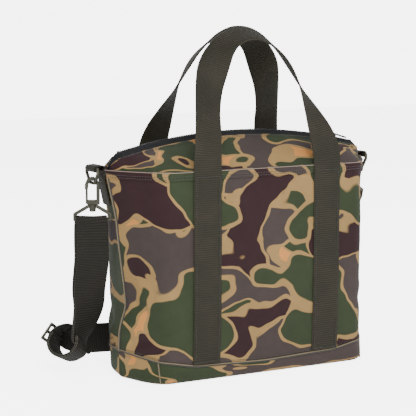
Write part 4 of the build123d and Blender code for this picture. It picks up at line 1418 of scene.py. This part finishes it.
def make_strap():
    """The shoulder strap: folded round both eyes, doubled down the left side
    to its curl, then single behind the bag."""
    pitch = bpy.context.scene.cooler_bag_finish.strap_pitch / MM
    cloth = material("strap")
    half_fold = [(1.02, -30.4), (1.02, -20), (1.15, -11), (2.1, -6), (3.15, -2.2), (3.25, 0.4), (2.3, 2.4)]
    fold = half_fold + [(0, 3.35)] + [(-y, z) for y, z in half_fold[::-1]]
    for side in ("left", "right"):
        place = hook_matrix(side)
        low, across, down = strap_top(side)
        slip = RETURN_SLIP if side == "left" else 0.0
        route = [(place @ Vector((0, y, EYE_BAR + z)) - across * (slip * ease(i / 14)), across)
                 for i, (y, z) in enumerate(fold)]
        obj = strip(f"strap_fold_{side}", route, WEB, STRAP_LAYER, cloth, pitch)
        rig.replaces(obj, f"strap_end_{side}")
        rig.slot(obj, "webbing")
        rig.blend(obj, f"swivel_{side}", f"hook_{side}", (low - down * 22) * MM, low * MM)

    low, across, down = strap_top("left")
    right_low, right_across, right_down = strap_top("right")
    axis = CURL_AXIS * (1 if across.dot(CURL_AXIS) > 0 else -1)
    on_edge = -UPWARD
    drop = [(low, across), (low + down * 21, across),
            (Vector((-194.5, 27, 110)), across * 0.85 + axis * 0.15),
            (Vector((-192.0, 36, 82)), across * 0.5 + axis * 0.5)]
    curl = [curl_station(a, axis) for a in (20, -5, -30, -55, -80, -105, -130, -155, -180, -205)]
    lead = [(curl_point(-225), axis), (curl_point(-250), axis)]
    slipped = [(p - across * slip, a) for (p, a), slip in zip(drop, (RETURN_SLIP, RETURN_SLIP, 2.5, 0.8))]
    behind = [(Vector(p), a) for p, a in (
        ((-190, 84, 38), axis * 0.6 + on_edge * 0.5), ((-165, 98, 31), on_edge + axis * 0.2),
        ((-135, 112, 26), on_edge), ((-100, 126, 22), on_edge), ((-60, 138, 19.6), on_edge),
        ((-15, 144, 19.6), on_edge), ((30, 143, 19.6), on_edge), ((72, 135, 19.8), on_edge),
        ((108, 122, 22), on_edge), ((138, 107, 29), on_edge + right_across * 0.2),
        ((160, 93, 44), on_edge * 0.8 + right_across * 0.5), ((175, 80, 66), on_edge * 0.4 + right_across),
        ((184, 66, 95), right_across), (right_low + right_down * 24, right_across),
        (right_low, right_across))]
    for name, route, offset, nodes in (
        ("strap_long_layer", drop + curl + lead + behind[:STRAP_CUT + 1], 1.0,
         ("strap_drop_left", "strap_curl")),
        ("strap_return_layer", slipped + curl + lead[:1], -1.0, ()),
    ):
        obj = strip(name, route, WEB, STRAP_LAYER, cloth, pitch, offset)
        if nodes:
            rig.replaces(obj, *nodes)
        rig.slot(obj, "webbing")
        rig.blend(obj, "hook_left", "bag", low * MM, (low + down * 50) * MM)
        weigh(obj, lambda p: 1.0 if p.x > -150 else ease((low.z - p.z) / 62.0))
    obj = strip("strap_behind_layer", behind[STRAP_CUT:], WEB, STRAP_LAYER, cloth, pitch, 1.0)
    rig.replaces(obj, "strap_behind")
    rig.slot(obj, "webbing")
    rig.blend(obj, "bag", "hook_right", (right_low + right_down * 50) * MM, right_low * MM)


def aimed(obj, place, target):
    """Put a light or camera in the scene, looking at a target."""
    obj.location = place
    obj.rotation_euler = (Vector(target) - Vector(place)).to_track_quat("-Z", "Y").to_euler()
    bpy.context.scene.collection.objects.link(obj)
    return obj


def make_stage():
    """Floor, lights and camera."""
    bm = bmesh.new()
    bmesh.ops.create_grid(bm, x_segments=2, y_segments=2, size=4000.0)
    bmesh.ops.translate(bm, vec=(0, 0, -0.6), verts=bm.verts)
    floor_material, g, shader = new_material("pale floor")
    where = g.node("ShaderNodeTexCoord").outputs["Object"]
    value = g.math("MULTIPLY_ADD", g.noise(where, 3.0, 2.0).outputs[0], 0.02, 0.93)
    pale = grey(g, value)
    seen = g.node("ShaderNodeLightPath").outputs["Is Camera Ray"]
    glow = g.math("MULTIPLY_ADD", seen, 4.6, 0.6)
    wire(g, shader, Base_Color=pale, Roughness=0.9, Emission_Color=pale, Emission_Strength=glow)
    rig.stage(finish_object("floor", bm, floor_material))
    world = bpy.data.worlds.new("studio")
    world.use_nodes = True
    background = world.node_tree.nodes["Background"]
    sky = Graph(world.node_tree)
    seen = sky.node("ShaderNodeLightPath").outputs["Is Camera Ray"]
    background.inputs[0].default_value = (1.0, 1.0, 1.0, 1.0)
    world.node_tree.links.new(sky.math("MULTIPLY_ADD", seen, 5.5, 0.55), background.inputs[1])
    bpy.context.scene.world = world
    for name, place, size, power in (
        ("key", (-0.7, -1.6, 1.7), 1.2, 60.0), ("fill", (1.5, -1.2, 0.9), 1.4, 10.0),
        ("rim", (0.5, 1.5, 1.5), 1.0, 14.0),
    ):
        data = bpy.data.lights.new(name, "AREA")
        data.energy = power
        data.size = size
        aimed(bpy.data.objects.new(name, data), place, (0, 0, 0.18))
    camera_data = bpy.data.cameras.new("camera")
    camera_data.lens = 140.0
    camera_data.sensor_width = 36.0
    bpy.context.scene.camera = aimed(bpy.data.objects.new("camera", camera_data), (-1.0315, -1.735, 0.460),
                                     (-0.0439, 0.0, 0.2012))


# ------------------------------------------------------------------ operators
def piece_operator(idname, label, text, build):
    """An operator class that runs one building function."""

    def execute(self, context):
        build()
        return {"FINISHED"}

    return type("COOLERBAG_OT_" + idname, (bpy.types.Operator,), {
        "bl_idname": "coolerbag." + idname, "bl_label": label, "__doc__": text, "execute": execute})


PIECES = [
    ("stage", "Stage", "Make the floor, lights and camera", make_stage),
    ("panels", "Walls", "Make the front and back walls", lambda: (make_panel(False), make_panel(True))),
    ("base", "Base", "Make the base", make_base),
    ("hem", "Hem", "Make the folded hem and its stitching", make_hem),
    ("seams", "Seams", "Make the rolled seams", make_seams),
    ("insulation", "Insulation", "Make the foam sheets", make_insulation),
    ("lining", "Lining", "Make the lining", make_lining),
    ("collars", "Collars", "Make the cloths between hem and zip", make_collars),
    ("zip", "Zip", "Make the tapes, teeth and stops", make_zip),
    ("slider", "Slider", "Make the slider and its pull", make_slider),
    ("handles", "Handles", "Make the two handles", make_handles),
    ("tabs", "Tabs", "Make the side tabs", make_tabs),
    ("hardware", "Hardware", "Make the rings, hooks, eyes and slide", make_hardware),
    ("strap", "Strap", "Make the shoulder strap", make_strap),
]
OPERATORS = [piece_operator(*piece) for piece in PIECES]


class COOLERBAG_PT_pieces(bpy.types.Panel):
    """Lists the bag's pieces."""

    bl_label = "Cooler Bag"
    bl_idname = "COOLERBAG_PT_pieces"
    bl_space_type = "VIEW_3D"
    bl_region_type = "UI"
    bl_category = "Cooler Bag"

    def draw(self, context):
        for group in (context.scene.cooler_bag_finish, context.scene.cooler_bag_sizes):
            for key in group.__annotations__:
                self.layout.prop(group, key)
        for operator in OPERATORS:
            self.layout.operator(operator.bl_idname)


CLASSES = [FinishProperties, SizeProperties, *OPERATORS, COOLERBAG_PT_pieces]


def register():
    for cls in CLASSES:
        bpy.utils.register_class(cls)
    bpy.types.Scene.cooler_bag_finish = PointerProperty(type=FinishProperties)
    bpy.types.Scene.cooler_bag_sizes = PointerProperty(type=SizeProperties)


def unregister():
    del bpy.types.Scene.cooler_bag_sizes
    del bpy.types.Scene.cooler_bag_finish
    for cls in reversed(CLASSES):
        bpy.utils.unregister_class(cls)


def main():
    """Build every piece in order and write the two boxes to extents.json."""
    register()
    for operator in OPERATORS:
        group, call = operator.bl_idname.split(".")
        getattr(getattr(bpy.ops, group), call)()
    visual_box = [list(corner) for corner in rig.bounds()]
    with open("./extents.json", "w") as file:
        json.dump({"cad": CAD_BOX, "visual": visual_box}, file)


if __name__ == "__main__":
    main()
